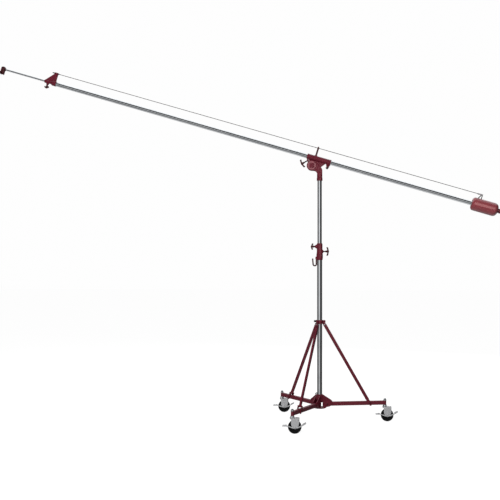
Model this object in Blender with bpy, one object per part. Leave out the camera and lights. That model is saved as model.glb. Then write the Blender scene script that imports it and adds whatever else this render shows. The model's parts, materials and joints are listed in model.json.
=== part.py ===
"""Boom light stand: a wheeled folding stand with a telescoping column and a cable-trussed boom.

Metres, +Z up, floor at Z = 0. +X runs along the boom in plan, towards the counterweight. The object is
modelled at rest, and every moving piece sits under an empty whose origin is on the piece's own joint axis.
"""

import math

import bmesh
import bpy
from mathutils import Matrix, Vector

# Overall
COLUMN_AT = (0.6616, 0.0474)  # column axis in plan, so that the origin is under the middle of the box
GAP = 0.0003  # between pieces that touch
SIDES = 24  # of a tube or another main round piece
SMALL_SIDES = 12  # of a screw, boss or bolt
PIN_SIDES = 8  # of a pivot pin and its holes
WIRE_SIDES = 8
SMOOTH_ANGLE = math.radians(35)

# Column
COLUMN_R = 0.0205
COLUMN_INNER_R = 0.0181
COLUMN_BOTTOM = 0.1643
COLUMN_TOP = 1.358
RISER_R = 0.0175
RISER_INNER_R = 0.0150
RISER_BOTTOM = 0.726
RISER_TOP = 1.996

# Hub and legs
LEG_ANGLES = (130.0, 250.0, 10.0)
HINGE_R = 0.060
HINGE_Z = 0.1445
LEG_RAKE = math.degrees(math.atan2(0.006, 0.471))  # each leg rises a little outwards
LEG_WIDTH = 0.026
LEG_HEIGHT = 0.032
LEG_WALL = 0.0025
LEG_INNER_R = 0.040
STEM_AT_R = 0.531
STEM_SOCKET_R = 0.0120
STEM_SOCKET_HALF = 0.0166
STEM_Z = 0.1505
HUB_BOTTOM = 0.110
HUB_FLOOR = 0.119
HUB_TOP = 0.222
HUB_SLEEVE_R = 0.029
HUB_POST_R = 0.0125
HUB_PLATE_R = 0.046
CHEEK = 0.006
PIN_R = 0.004

# Braces and their collar
BRACE_ALONG_LEG = 0.345
BRACE_TOP_R = 0.041
BRACE_TOP_Z = 0.784
BRACE_DEPTH = 0.025
BRACE_WIDTH = 0.013
BRACE_WALL = 0.002
STRAP = 0.004
STIRRUP_RISE = 0.0325
FORK_DEPTH = 0.034
LUG = 0.0052
RING_BOTTOM = 0.790
RING_TOP = 0.821
RING_R = 0.027
COLLAR_SCREW_ANGLE = 190.0

# Casters
WHEEL_R = 0.0508
WHEEL_WIDTH = 0.030
WHEEL_SIDES = 32
TRAIL = 0.018
FORK_HALF = 0.0185
FORK_PLATE = 0.0028
FORK_TOP = 0.1175
CROWN_BOTTOM = 0.1080
KINGPIN_R = 0.0045
RACEWAY_R = 0.0195
STEM_R = 0.006

# Clamp on the column, its handles and hook
CLAMP_BOTTOM = 1.304
CLAMP_TOP = 1.440
RISER_LOCK_Z = 1.414
COLUMN_LOCK_Z = 1.374
LEFT_BAR_AT = 0.064
RIGHT_BAR_AT = 0.067
HOOK_ROD_R = 0.0056
HOOK_SHANK_X = -0.0268
HOOK_BEND_R = 0.0130
HOOK_BEND_Z = 1.272
HOOK_END_Z = 1.319

# Head
PIVOT_X = -0.063
PIVOT_Z = 2.068
BOOM_TILT = math.radians(16.95)
BOOM_ABOVE_PIVOT = 0.064
YOKE_BOTTOM = 1.945
YOKE_SHOULDER = 2.012
YOKE_DISC_R = 0.041
YOKE_HALF = 0.0155
SLOT_HALF = 0.0066
WEB_HALF = 0.0062
TILT_BOLT_R = 0.006
SADDLE_RING_R = 0.036
SADDLE_R = 0.0215
SADDLE_FROM = -0.058
SADDLE_TO = 0.140
EAR_ANGLE = math.radians(136.0)
EAR_RADIUS = 0.0535
TILT_BAR_AT = 0.0620
BOOM_LOCK_ALONG = 0.124
BOOM_BAR_BELOW = 0.0500
POST_ALONG = 0.009
POST_R = 0.007
POST_TOP = 0.098
WIRE_ABOVE = 0.0855
WIRE_R = 0.0024

# Boom, along its own axis from the foot of the pivot, towards the counterweight
BOOM_R = 0.0175
BOOM_INNER_R = 0.0150
BOOM_FROM = -2.298
BOOM_TO = 1.482
ROD_R = 0.008
ROD_TO = -1.665
BRACKET_FROM = -2.374
BRACKET_TO = -2.268
ROD_LOCK_AT = -2.344
RECEIVER_AT = -2.759
RECEIVER_R = 0.019
RECEIVER_TOP = 0.021
RECEIVER_BOTTOM = -0.046
SOCKET_R = 0.0143
SOCKET_ROOF = -0.011
RECEIVER_LOCK = -0.029
FRONT_ANCHOR_FROM = -2.327
FRONT_ANCHOR_TO = -2.268
REAR_ANCHOR_AT = 1.353
WEIGHT_FROM = 1.295
WEIGHT_TO = 1.503
WEIGHT_R = 0.0525
WEIGHT_FRONT_ROUND = 0.022
WEIGHT_REAR_ROUND = 0.034
TAIL_END = 1.540
TAIL_R = 0.018

# T-handles
BAR_HALF = 0.035
BAR_BOW = 0.007
SCREW_R = 0.005


def clear_scene():
    for obj in list(bpy.data.objects):
        bpy.data.objects.remove(obj)


def material(name, colour, roughness, metallic):
    made = bpy.data.materials.new(name)
    made.use_nodes = True
    shader = made.node_tree.nodes["Principled BSDF"]
    shader.inputs["Base Color"].default_value = (*colour, 1.0)
    shader.inputs["Roughness"].default_value = roughness
    shader.inputs["Metallic"].default_value = metallic
    return made


def make_materials():
    return {
        "chrome": material("chrome_plate", (0.62, 0.63, 0.64), 0.18, 1.0),
        "maroon": material("maroon_enamel", (0.16, 0.012, 0.024), 0.38, 0.0),
        "maroon_gloss": material("maroon_gloss_enamel", (0.26, 0.045, 0.055), 0.30, 0.0),
        "zinc": material("zinc_plate", (0.45, 0.46, 0.47), 0.42, 1.0),
        "steel": material("dark_steel", (0.09, 0.09, 0.10), 0.45, 1.0),
        "cable": material("steel_cable", (0.32, 0.32, 0.33), 0.50, 1.0),
        "tyre": material("black_rubber", (0.012, 0.012, 0.012), 0.60, 0.0),
    }


def polar(radius, angle):
    return radius * math.cos(angle), radius * math.sin(angle)


def arc(centre, radius, start, end, steps):
    """Points from one angle to another, in degrees, both ends included."""
    angles = [math.radians(start + (end - start) * i / steps) for i in range(steps + 1)]
    return [(centre[0] + radius * math.cos(a), centre[1] + radius * math.sin(a)) for a in angles]


def running(radius, sides=SIDES):
    """The radius of a faceted bore whose flats clear a shaft of this radius."""
    return (radius + GAP) / math.cos(math.pi / sides)


def closed_rings(bm, rings, endless):
    """Skins rings of equal length, capping the ends unless the last ring meets the first."""
    count = len(rings[0])
    following = rings[1:] + rings[:1] if endless else rings[1:]
    for low, high in zip(rings, following):
        for i in range(count):
            j = (i + 1) % count
            bm.faces.new((low[i], low[j], high[j], high[i]))
    if not endless:
        bm.faces.new(rings[0])
        bm.faces.new(rings[-1])
    bmesh.ops.recalc_face_normals(bm, faces=bm.faces)
    return bm


def turned(profile, sides=SIDES, endless=False, half_step=False):
    """A solid of revolution about Z through (radius, height) points; endless joins last to first."""
    bm = bmesh.new()
    shift = math.pi / sides if half_step else 0.0
    rings = []
    for radius, height in profile:
        corners = [polar(radius, shift + 2 * math.pi * i / sides) for i in range(sides)]
        rings.append([bm.verts.new((x, y, height)) for x, y in corners])
    return closed_rings(bm, rings, endless)


def tube(outer, inner, low, high, sides=SIDES):
    return turned([(outer, low), (outer, high), (inner, high), (inner, low)], sides, endless=True)


def rod(radius, low, high, sides=SMALL_SIDES):
    return turned([(radius, low), (radius, high)], sides)


def plate(outline, low, high):
    """An outline in X and Z, between two values of Y."""
    bm = bmesh.new()
    rings = [[bm.verts.new((x, y, z)) for x, z in outline] for y in (low, high)]
    return closed_rings(bm, rings, endless=False)


def block(x, y, z):
    return plate([(x[0], z[0]), (x[1], z[0]), (x[1], z[1]), (x[0], z[1])], *y)


def bent_rod(radius, points, sides=WIRE_SIDES):
    """A round rod along points in the XZ plane, mitred at each."""
    bm = bmesh.new()
    rings = []
    for i, (x, z) in enumerate(points):
        before = Vector(points[max(i - 1, 0)])
        after = Vector(points[min(i + 1, len(points) - 1)])
        along = (after - before).normalized()
        across = Vector((-along.y, along.x))
        ring = []
        for step in range(sides):
            side, up = polar(radius, 2 * math.pi * step / sides)
            ring.append(bm.verts.new((x + across.x * side, up, z + across.y * side)))
        rings.append(ring)
    return closed_rings(bm, rings, endless=False)


def placed(bm, matrix):
    bm.transform(matrix)
    return bm


def shift(x=0.0, y=0.0, z=0.0):
    return Matrix.Translation((x, y, z))


def turn(degrees, axis):
    return Matrix.Rotation(math.radians(degrees), 4, axis)


ALONG_X = turn(90, "Y")  # a shape turned about Z, laid along +X
ALONG_Y = turn(-90, "X")  # and along +Y


def temporary(bm):
    mesh = bpy.data.meshes.new("shape")
    bm.to_mesh(mesh)
    bm.free()
    obj = bpy.data.objects.new("shape", mesh)
    bpy.context.scene.collection.objects.link(obj)
    return obj


def shaped(base, joins=(), cuts=()):
    """The base with each join added and then each cut taken away, as one finished mesh."""
    body = temporary(base)
    helpers = []
    for operation, shapes in (("UNION", joins), ("DIFFERENCE", cuts)):
        for shape in shapes:
            helper = temporary(shape)
            modifier = body.modifiers.new("step", "BOOLEAN")
            modifier.operation = operation
            modifier.object = helper
            helpers.append(helper)
    graph = bpy.context.evaluated_depsgraph_get()
    mesh = bpy.data.meshes.new_from_object(body.evaluated_get(graph))
    for obj in [body, *helpers]:
        bpy.data.objects.remove(obj)
    bm = bmesh.new()
    bm.from_mesh(mesh)
    bmesh.ops.triangulate(bm, faces=[face for face in bm.faces if len(face.verts) > 4])
    bm.to_mesh(mesh)
    bm.free()
    return mesh


def piece(name, shape, finish, parent, matrix=None):
    """Adds a named sub-part from a mesh or a bmesh, under the empty that carries it."""
    mesh = shape
    if isinstance(shape, bmesh.types.BMesh):
        mesh = bpy.data.meshes.new(name)
        shape.to_mesh(mesh)
        shape.free()
    if not mesh.materials:
        mesh.materials.append(finish)
    mesh.shade_smooth()
    mesh.set_sharp_from_angle(angle=SMOOTH_ANGLE)
    obj = bpy.data.objects.new(name, mesh)
    bpy.context.scene.collection.objects.link(obj)
    obj.parent = parent
    obj.matrix_local = matrix or Matrix()
    return obj


def carrier(name, parent, matrix):
    """An empty on a joint's axis."""
    empty = bpy.data.objects.new(name, None)
    empty.empty_display_size = 0.05
    bpy.context.scene.collection.objects.link(empty)
    empty.parent = parent
    empty.matrix_local = matrix
    return empty


def tee_handle_mesh(reach, neck=0.022):
    """A cast T-handle on its screw. Z = 0 is the middle of the bar and the screw's tip is at -reach."""
    bm = bmesh.new()
    rings = []
    for share, width, height in (
        (-1.0, 0.0040, 0.0040),
        (-0.92, 0.0072, 0.0066),
        (-0.50, 0.0060, 0.0058),
        (0.0, 0.0085, 0.0070),
        (0.50, 0.0060, 0.0058),
        (0.92, 0.0072, 0.0066),
        (1.0, 0.0040, 0.0040),
    ):
        bow = -BAR_BOW * share * share
        corners = [polar(1.0, 2 * math.pi * i / 6) for i in range(6)]
        rings.append(
            [bm.verts.new((share * BAR_HALF, y * width, bow + z * height)) for y, z in corners]
        )
    bar = closed_rings(bm, rings, endless=False)
    stem = turned(
        [(SCREW_R, -reach), (SCREW_R, -neck), (0.0074, 0.002 - neck), (0.0098, -0.002), (0.0060, 0.0085)],
        SMALL_SIDES,
    )
    return shaped(bar, joins=[stem])


def hub_mesh():
    """A spool round the column's foot with a fork of two cheeks for each leg."""
    spool = turned(
        [
            (HUB_PLATE_R, HUB_BOTTOM),
            (HUB_PLATE_R, HUB_FLOOR),
            (HUB_POST_R, HUB_FLOOR + 0.001),
            (HUB_POST_R, 0.155),
            (HUB_SLEEVE_R, 0.159),
            (HUB_SLEEVE_R, HUB_TOP - 0.004),
            (HUB_SLEEVE_R - 0.0025, HUB_TOP),
        ]
    )
    outline = [
        (0.012, 0.219),
        (0.027, 0.219),
        (0.099, 0.172),
        (0.103, 0.153),
        (0.097, 0.134),
        (0.082, 0.125),
        (0.055, 0.120),
        (0.044, HUB_BOTTOM + 0.0006),
        (0.026, HUB_BOTTOM + 0.0006),
        (0.026, 0.1605),
        (0.012, 0.1625),
    ]
    inside = LEG_WIDTH / 2 + 0.0004
    joins = []
    cuts = []
    for angle in LEG_ANGLES:
        about = turn(angle, "Z")
        for low in (inside, -inside - CHEEK):
            joins.append(placed(plate(outline, low, low + CHEEK), about))
        joins.append(placed(block((0.0262, 0.043), (-inside - 0.002, inside + 0.002), (0.184, 0.205)), about))
        hole = rod(running(PIN_R, PIN_SIDES), -0.04, 0.04, PIN_SIDES)
        cuts.append(placed(hole, about @ shift(HINGE_R, 0, HINGE_Z) @ ALONG_Y))
    socket = rod(0.0036, 0.178, 0.216, WIRE_SIDES)
    cuts.append(placed(socket, turn(LEG_ANGLES[0], "Z") @ shift(0.0355)))
    cuts.append(rod(running(COLUMN_R), COLUMN_BOTTOM - GAP, 0.23, SIDES))
    return shaped(spool, joins, cuts)


def lock_pin_mesh():
    """A bent spring pin dropped into the first leg's fork, its handle lying along the gusset."""
    bend = arc((0.0405, 0.2235), 0.005, 180, 55, 4)
    return bent_rod(0.003, [(0.0355, 0.1805), *bend, (0.062, 0.2125)])


def rivet(half_grip, head_r=0.0075, head=0.003):
    """A pivot pin along Y with a head at each end."""
    profile = [(0.6 * head_r, -half_grip - head), (head_r, -half_grip), (PIN_R, -half_grip)]
    profile += [(PIN_R, half_grip), (head_r, half_grip), (0.6 * head_r, half_grip + head)]
    return placed(turned(profile, PIN_SIDES), ALONG_Y)


def pin_hole(x=0.0, z=0.0):
    return placed(rod(running(PIN_R, PIN_SIDES), -0.04, 0.04, PIN_SIDES), shift(x, 0, z) @ ALONG_Y)


def leg_mesh():
    """Rectangular tube with holes for its hinge and brace pins, and a round socket for the caster's stem."""
    inner = LEG_INNER_R - HINGE_R
    half, rise = LEG_WIDTH / 2, LEG_HEIGHT / 2
    stem = STEM_AT_R - HINGE_R
    body = block((inner, stem), (-half, half), (-rise, rise))
    upright = shift(stem) @ turn(LEG_RAKE, "Y")
    socket = placed(rod(STEM_SOCKET_R, -STEM_SOCKET_HALF, STEM_SOCKET_HALF), upright)
    hollow = block(
        (inner - 0.01, stem - STEM_SOCKET_R - 0.002),
        (-half + LEG_WALL, half - LEG_WALL),
        (-rise + LEG_WALL, rise - LEG_WALL),
    )
    bore = placed(rod(running(STEM_R, SMALL_SIDES), -0.03, 0.03), upright)
    return shaped(body, [socket], [hollow, pin_hole(), pin_hole(BRACE_ALONG_LEG), bore])


def brace_mesh(length):
    """A flat tube: stirrup over the leg at its foot, fork for the collar's lug at its top."""
    deep, half = BRACE_DEPTH / 2, BRACE_WIDTH / 2
    top = arc((0, length), deep, 0, 180, 6)
    rise = STIRRUP_RISE
    body = plate([(-deep, rise + 0.006), (deep, rise + 0.006), *top], -half, half)
    inside = LEG_WIDTH / 2 + 0.0004
    yoke = [(-0.0085, rise), (0.0085, rise), (deep, rise + 0.005), (deep, rise + 0.010)]
    yoke += [(-deep, rise + 0.010), (-deep, rise + 0.005)]
    bridge = plate(yoke, -inside - STRAP, inside + STRAP)
    strap = [(-0.0105, rise + 0.003), *arc((0, -0.0125), 0.0105, 180, 360, 6), (0.0105, rise + 0.003)]
    straps = [plate(strap, low, low + STRAP) for low in (inside, -inside - STRAP)]
    hollow = block(
        (-deep + BRACE_WALL, deep - BRACE_WALL),
        (-half + BRACE_WALL, half - BRACE_WALL),
        (rise + 0.014, length - FORK_DEPTH + 0.006),
    )
    slot = block((-0.03, 0.03), (-LUG / 2 - 0.0004, LUG / 2 + 0.0004), (length - FORK_DEPTH, length + 0.03))
    return shaped(body, [bridge, *straps], [hollow, slot, pin_hole(), pin_hole(z=length)])


def brace_collar_mesh():
    """A ring that slides on the column, with a slotted lug for each brace.

    The lug's hole is open on its outer side: the brace's top pin leaves it a little while the stand folds.
    """
    ring = tube(RING_R, running(COLUMN_R), RING_BOTTOM, RING_TOP)
    hole = running(PIN_R, PIN_SIDES) + 0.0003
    x, z = BRACE_TOP_R, BRACE_TOP_Z
    seat = arc((x, z), hole, 125, 300, 6)
    lug = [
        (0.0235, RING_TOP - 0.001),
        (0.0455, RING_TOP - 0.001),
        (0.0475, 0.8145),
        (0.0475, 0.8005),
        *seat,
        (0.0475, 0.7815),
        (0.0475, 0.7760),
        (0.0440, 0.7715),
        (0.0365, 0.7715),
        (0.0300, 0.7790),
        (0.0235, RING_BOTTOM + 0.001),
    ]
    lugs = [placed(plate(lug, -LUG / 2, LUG / 2), turn(angle, "Z")) for angle in LEG_ANGLES]
    height = (RING_BOTTOM + RING_TOP) / 2 + 0.006
    outward = turn(COLLAR_SCREW_ANGLE, "Z") @ shift(z=height) @ ALONG_X
    boss = placed(rod(0.0085, 0.024, 0.0305), outward)
    hole = placed(rod(running(PIN_R, SMALL_SIDES), 0.012, 0.04), outward)
    return shaped(ring, [*lugs, boss], [hole])


def collar_screw():
    """Thumb screw that locks the collar; its own axis is Z, from the column outwards."""
    return turned(
        [(PIN_R, COLUMN_R + GAP), (PIN_R, 0.0308), (0.0085, 0.0308), (0.0085, 0.043), (0.0065, 0.046)],
        6,
    )


def caster_stem():
    """Stem with a rounded nut above the leg and, below it, half the swivel race and the riveted kingpin."""
    low = STEM_Z - STEM_SOCKET_HALF - GAP
    high = STEM_Z + STEM_SOCKET_HALF + GAP
    kingpin = [(0.0060, 0.1048), (0.0072, 0.1056), (0.0072, CROWN_BOTTOM - GAP)]
    kingpin += [(KINGPIN_R, CROWN_BOTTOM - GAP), (KINGPIN_R, FORK_TOP + GAP)]
    race = [(0.0150, FORK_TOP + GAP), (RACEWAY_R, FORK_TOP + 0.0035), (RACEWAY_R, 0.1250), (0.0140, low)]
    nut = [(0.0105, high), (0.0105, high + 0.0125), (0.0080, high + 0.0180), (0.0030, high + 0.0195)]
    return turned([*kingpin, *race, (STEM_R, low), (STEM_R, high), *nut], SMALL_SIDES)


def caster_fork_mesh():
    """Pressed fork: round crown, two wide cheeks and a housed shoulder on the trailing side."""
    cheek = [
        (-0.0080, CROWN_BOTTOM + 0.001),
        (-0.0080, 0.066),
        (0.0020, 0.050),
        *arc((0.0200, WHEEL_R), 0.0140, 215, 325, 3),
        (0.0430, 0.056),
        (0.0520, 0.072),
        (0.0520, CROWN_BOTTOM + 0.001),
    ]
    outside = FORK_HALF + FORK_PLATE
    cheeks = [plate(cheek, low, low + FORK_PLATE) for low in (FORK_HALF, -outside)]
    crown = rod(RACEWAY_R, CROWN_BOTTOM + 0.0005, FORK_TOP, SIDES)
    roof = block((-0.0080, 0.0520), (-outside, outside), (CROWN_BOTTOM, CROWN_BOTTOM + 0.005))
    shoulder = block((0.0215, 0.0520), (-outside, outside), (CROWN_BOTTOM + 0.002, 0.1205))
    kingpin = rod(running(KINGPIN_R, SMALL_SIDES), 0.09, 0.13)
    axle = placed(rod(running(SCREW_R, SMALL_SIDES), -0.04, 0.04), shift(TRAIL, 0, WHEEL_R) @ ALONG_Y)
    return shaped(roof, [crown, *cheeks, shoulder], [kingpin, axle])


def caster_wheel():
    """Solid tyre on a narrow hub, turned about Y, standing on one of its flats."""
    half = WHEEL_WIDTH / 2
    bore = running(SCREW_R, WHEEL_SIDES)
    radius = WHEEL_R / math.cos(math.pi / WHEEL_SIDES)
    profile = [
        (bore, -half - 0.0020),
        (0.0150, -half - 0.0020),
        (0.0180, -half + 0.0040),
        (0.0410, -half),
        (radius, -half + 0.0060),
        (radius, half - 0.0060),
        (0.0410, half),
        (0.0180, half - 0.0040),
        (0.0150, half + 0.0020),
        (bore, half + 0.0020),
    ]
    return placed(turned(profile, WHEEL_SIDES, endless=True, half_step=True), ALONG_Y)


def caster_axle():
    outer = FORK_HALF + FORK_PLATE + GAP
    pedal = outer + 0.0034 + 2 * GAP
    profile = [
        (0.0065, -pedal - 0.0035),
        (0.0082, -pedal - 0.0030),
        (0.0082, -pedal),
        (SCREW_R, -pedal),
        (SCREW_R, outer),
        (0.0082, outer),
        (0.0082, outer + 0.0040),
        (0.0060, outer + 0.0050),
    ]
    return placed(turned(profile, SMALL_SIDES), ALONG_Y)


def brake_pedal_mesh():
    """Rocking bar outside the fork with a tread across the wheel at each end; origin on the axle."""
    bar = [
        (-0.092, 0.0120),
        (-0.056, 0.0130),
        (-0.018, 0.0010),
        (0.022, 0.0010),
        (0.052, 0.0170),
        (0.084, 0.0340),
        (0.086, 0.0260),
        (0.054, 0.0070),
        (0.020, -0.0095),
        (-0.016, -0.0095),
        (-0.056, 0.0050),
        (-0.092, 0.0050),
    ]
    near = -FORK_HALF - FORK_PLATE - 0.0003
    left = plate([(-0.0925, 0.0042), (-0.058, 0.0042), (-0.058, 0.0125), (-0.0925, 0.0110)], near - 0.0034, 0.012)
    right = plate([(0.0600, 0.0130), (0.0850, 0.0250), (0.0840, 0.0340), (0.0570, 0.0210)], near - 0.0034, 0.016)
    pivot = placed(rod(running(SCREW_R, SMALL_SIDES), -0.05, 0.05), ALONG_Y)
    return shaped(plate(bar, near - 0.0034, near), [left, right], [pivot])


def column_clamp_mesh():
    """Casting that grips the lower tube and holds the riser, with a conical boss for each handle."""
    low, high = running(COLUMN_R), running(RISER_R)
    step = COLUMN_TOP + GAP
    body = turned(
        [
            (0.0222, CLAMP_BOTTOM),
            (0.0246, 1.310),
            (0.0262, 1.326),
            (0.0262, 1.351),
            (0.0230, 1.370),
            (0.0230, 1.435),
            (0.0212, CLAMP_TOP),
            (high, CLAMP_TOP),
            (high, step),
            (low, step),
            (low, CLAMP_BOTTOM),
        ],
        endless=True,
    )
    left = placed(
        turned([(0.0175, 0.0195), (0.0160, 0.0290), (0.0100, 0.0350), (0.0080, 0.0410)], SMALL_SIDES),
        shift(z=RISER_LOCK_Z) @ turn(-90, "Y"),
    )
    right = placed(
        turned([(0.0195, 0.0190), (0.0150, 0.0240), (0.0095, 0.0310)], SMALL_SIDES),
        shift(z=COLUMN_LOCK_Z) @ ALONG_X,
    )
    lug = block((-0.0342, -0.0222), (-0.0080, 0.0080), (1.3105, 1.332))
    hook = placed(rod(running(HOOK_ROD_R, WIRE_SIDES), 1.296, 1.326, WIRE_SIDES), shift(HOOK_SHANK_X))
    holes = [
        placed(rod(running(SCREW_R, SMALL_SIDES), 0.010, 0.06), shift(z=height) @ direction)
        for height, direction in ((RISER_LOCK_Z, turn(-90, "Y")), (COLUMN_LOCK_Z, ALONG_X))
    ]
    inner = rod(low, CLAMP_BOTTOM - 0.01, step, SIDES)
    upper = rod(high, step - 0.01, CLAMP_TOP + 0.01, SIDES)
    return shaped(body, [left, right, lug], [hook, *holes, inner, upper])


def cable_hook():
    """J-shaped rod under the clamp, for the lamp's cable."""
    bend = arc((HOOK_SHANK_X - HOOK_BEND_R, HOOK_BEND_Z), HOOK_BEND_R, 0, -180, 8)
    tip = (HOOK_SHANK_X - 2 * HOOK_BEND_R - 0.004, HOOK_END_Z)
    return bent_rod(HOOK_ROD_R, [(HOOK_SHANK_X, 1.3255), *bend, tip])


def yoke_mesh():
    """Swivelling socket whose neck leans over to a fork of two discs for the tilt bolt."""
    socket = turned(
        [
            (0.0222, YOKE_BOTTOM),
            (0.0232, YOKE_BOTTOM + 0.004),
            (0.0232, YOKE_BOTTOM + 0.020),
            (0.0216, YOKE_BOTTOM + 0.027),
            (0.0216, YOKE_SHOULDER - 0.006),
            (0.0180, YOKE_SHOULDER),
        ]
    )
    centre = (PIVOT_X, PIVOT_Z)
    neck = [
        (0.0208, 1.996),
        (0.0215, 2.028),
        (0.0190, 2.042),
        (0.0100, 2.055),
        (-0.0080, 2.070),
        *arc(centre, YOKE_DISC_R, 40, 262, 16),
        (-0.0430, 2.0255),
        (-0.0300, 2.0190),
        (-0.0215, 2.0080),
        (-0.0200, 1.996),
    ]
    fork = plate(neck, -YOKE_HALF, YOKE_HALF)
    slot = block((-0.12, 0.04), (-SLOT_HALF, SLOT_HALF), (YOKE_SHOULDER, 2.12))
    bore = rod(running(RISER_R), YOKE_BOTTOM - 0.01, RISER_TOP + GAP, SIDES)
    bolt = placed(rod(running(TILT_BOLT_R, SMALL_SIDES), -0.04, 0.04), shift(*centre_3d()) @ ALONG_Y)
    return shaped(socket, [fork], [slot, bore, bolt])


def centre_3d():
    return PIVOT_X, 0.0, PIVOT_Z


def tilt_bolt():
    """Bolt through the fork, with a dished flange and a broad square head on the near side."""
    outside = YOKE_HALF + GAP
    flange = placed(
        turned(
            [
                (0.0240, -outside - 0.0025),
                (0.0285, -outside - 0.0060),
                (0.0315, -outside - 0.0060),
                (0.0335, -outside - 0.0040),
                (0.0335, -outside),
                (TILT_BOLT_R, -outside),
                (TILT_BOLT_R, outside + 0.012),
            ],
            SMALL_SIDES * 2,
        ),
        ALONG_Y,
    )
    half = 0.0185
    corner = 0.003
    outline = []
    for x, z, start in ((1, 1, 0), (-1, 1, 90), (-1, -1, 180), (1, -1, 270)):
        outline += arc((x * (half - corner), z * (half - corner)), corner, start, start + 90, 2)
    head = plate(outline, -outside - 0.009, -outside - 0.001)
    return shaped(flange, [head])


def tilt_nut():
    outside = YOKE_HALF + GAP
    bore = running(TILT_BOLT_R, SMALL_SIDES)
    nut = [(0.0125, outside), (0.0125, outside + 0.009), (0.0105, outside + 0.0105)]
    return shaped(
        placed(turned(nut, 6), ALONG_Y), cuts=[placed(rod(bore, -0.05, 0.05), ALONG_Y)]
    )


def saddle_mesh():
    """Boom side of the head: sleeve, web, split tilt ring with ears, pinch lug and post boss.

    Origin at the tilt pivot, X along the boom, Z away from it.
    """
    axis = BOOM_ABOVE_PIVOT
    bore = running(BOOM_R)
    on_boom = shift(z=axis) @ ALONG_X
    sleeve = placed(
        turned(
            [
                (SADDLE_R + 0.0012, SADDLE_FROM),
                (SADDLE_R + 0.0012, SADDLE_FROM + 0.012),
                (SADDLE_R, SADDLE_FROM + 0.016),
                (SADDLE_R, SADDLE_TO - 0.016),
                (SADDLE_R + 0.0012, SADDLE_TO - 0.012),
                (SADDLE_R + 0.0012, SADDLE_TO),
            ]
        ),
        on_boom,
    )
    ring = placed(rod(SADDLE_RING_R, -WEB_HALF, WEB_HALF, SIDES), ALONG_Y)
    web = plate(
        [
            (-0.054, axis - 0.012),
            (-0.050, 0.030),
            (-0.034, 0.010),
            (-0.010, -0.033),
            (0.020, -0.029),
            (0.050, -0.012),
            (0.074, 0.009),
            (0.100, 0.042),
            (0.106, axis - 0.012),
        ],
        0.0003 - WEB_HALF,
        WEB_HALF - 0.0003,
    )
    radial = Matrix.Rotation(-EAR_ANGLE, 4, "Y")
    ear_root = placed(block((0.030, 0.0450), (-0.0058, 0.0058), (-0.0120, 0.0120)), radial)
    ears = placed(block((0.0440, 0.0635), (-0.0100, 0.0100), (-0.0125, 0.0125)), radial)
    lock_boss = turned([(0.0185, -0.0190), (0.0150, -0.0270), (0.0110, -0.0390)], SMALL_SIDES)
    placed(lock_boss, shift(BOOM_LOCK_ALONG, 0, axis))
    boss = placed(rod(0.0105, 0.018, 0.027), shift(POST_ALONG, 0, axis))
    lock_hole = placed(
        rod(running(SCREW_R, SMALL_SIDES), -0.05, 0.0), shift(BOOM_LOCK_ALONG, 0, axis)
    )
    ear_hole = placed(rod(running(SCREW_R, SMALL_SIDES), -0.0125, 0.03), radial @ shift(EAR_RADIUS))
    cuts = [
        placed(rod(bore, SADDLE_FROM - 0.01, SADDLE_TO + 0.01, SIDES), on_boom),
        placed(rod(running(TILT_BOLT_R, SMALL_SIDES), -0.02, 0.02), ALONG_Y),
        placed(block((0.003, 0.0645), (-0.02, 0.02), (-0.0015, 0.0015)), radial),
        placed(rod(running(POST_R, SMALL_SIDES), 0.0185, 0.04), shift(POST_ALONG, 0, axis)),
        lock_hole,
        ear_hole,
    ]
    return shaped(sleeve, [ring, web, ear_root, ears, lock_boss, boss], cuts)


def truss_post():
    """Mast for the truss wire, forked at its top. Z = 0 is the boom's axis."""
    body = turned(
        [(POST_R, 0.0190), (POST_R, 0.088), (0.0062, POST_TOP - 0.002), (0.0035, POST_TOP)],
        SMALL_SIDES,
    )
    notch = block((-0.02, 0.02), (-WIRE_R - 0.0005, WIRE_R + 0.0005), (WIRE_ABOVE - WIRE_R - 0.0008, 0.12))
    return shaped(body, cuts=[notch])


def front_bracket_mesh():
    """Casting on the boom's tip: socket on the tube, nose round the rod, fin up to the wire's anchor."""
    socket = turned([(0.0195, BRACKET_TO), (0.0210, BRACKET_TO - 0.004), (0.0210, -2.302), (0.0165, -2.3095)])
    nose = turned([(0.0125, -2.3080), (0.0125, -2.3270), (0.0145, -2.3330), (0.0145, -2.3690), (0.0125, BRACKET_FROM)])
    for part in (socket, nose):
        placed(part, ALONG_X)
    fin = plate(
        [
            (-2.3720, 0.0100),
            (-2.3080, 0.0770),
            (-2.3040, 0.0775),
            (-2.3040, 0.0930),
            (-2.2780, 0.0930),
            (-2.2780, 0.0060),
            (-2.3720, 0.0060),
        ],
        -0.0085,
        0.0085,
    )
    rib = plate([(-2.310, 0.0150), (-2.282, 0.0150), (-2.282, 0.0540), (-2.2950, 0.0540)], -0.0110, 0.0110)
    boss = placed(rod(0.0110, -0.0250, -0.008), shift(ROD_LOCK_AT))
    lock = placed(rod(running(SCREW_R, SMALL_SIDES), -0.04, 0.0), shift(ROD_LOCK_AT))
    tube_bore = placed(rod(running(BOOM_R), BOOM_FROM - GAP, BRACKET_TO + 0.01, SIDES), ALONG_X)
    rod_bore = placed(rod(running(ROD_R, SMALL_SIDES), -2.40, -2.25), ALONG_X)
    anchor = placed(rod(running(PIN_R, SMALL_SIDES), -2.33, -2.25), shift(z=WIRE_ABOVE) @ ALONG_X)
    return shaped(socket, [nose, fin, rib, boss], [tube_bore, rod_bore, lock, anchor])


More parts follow.
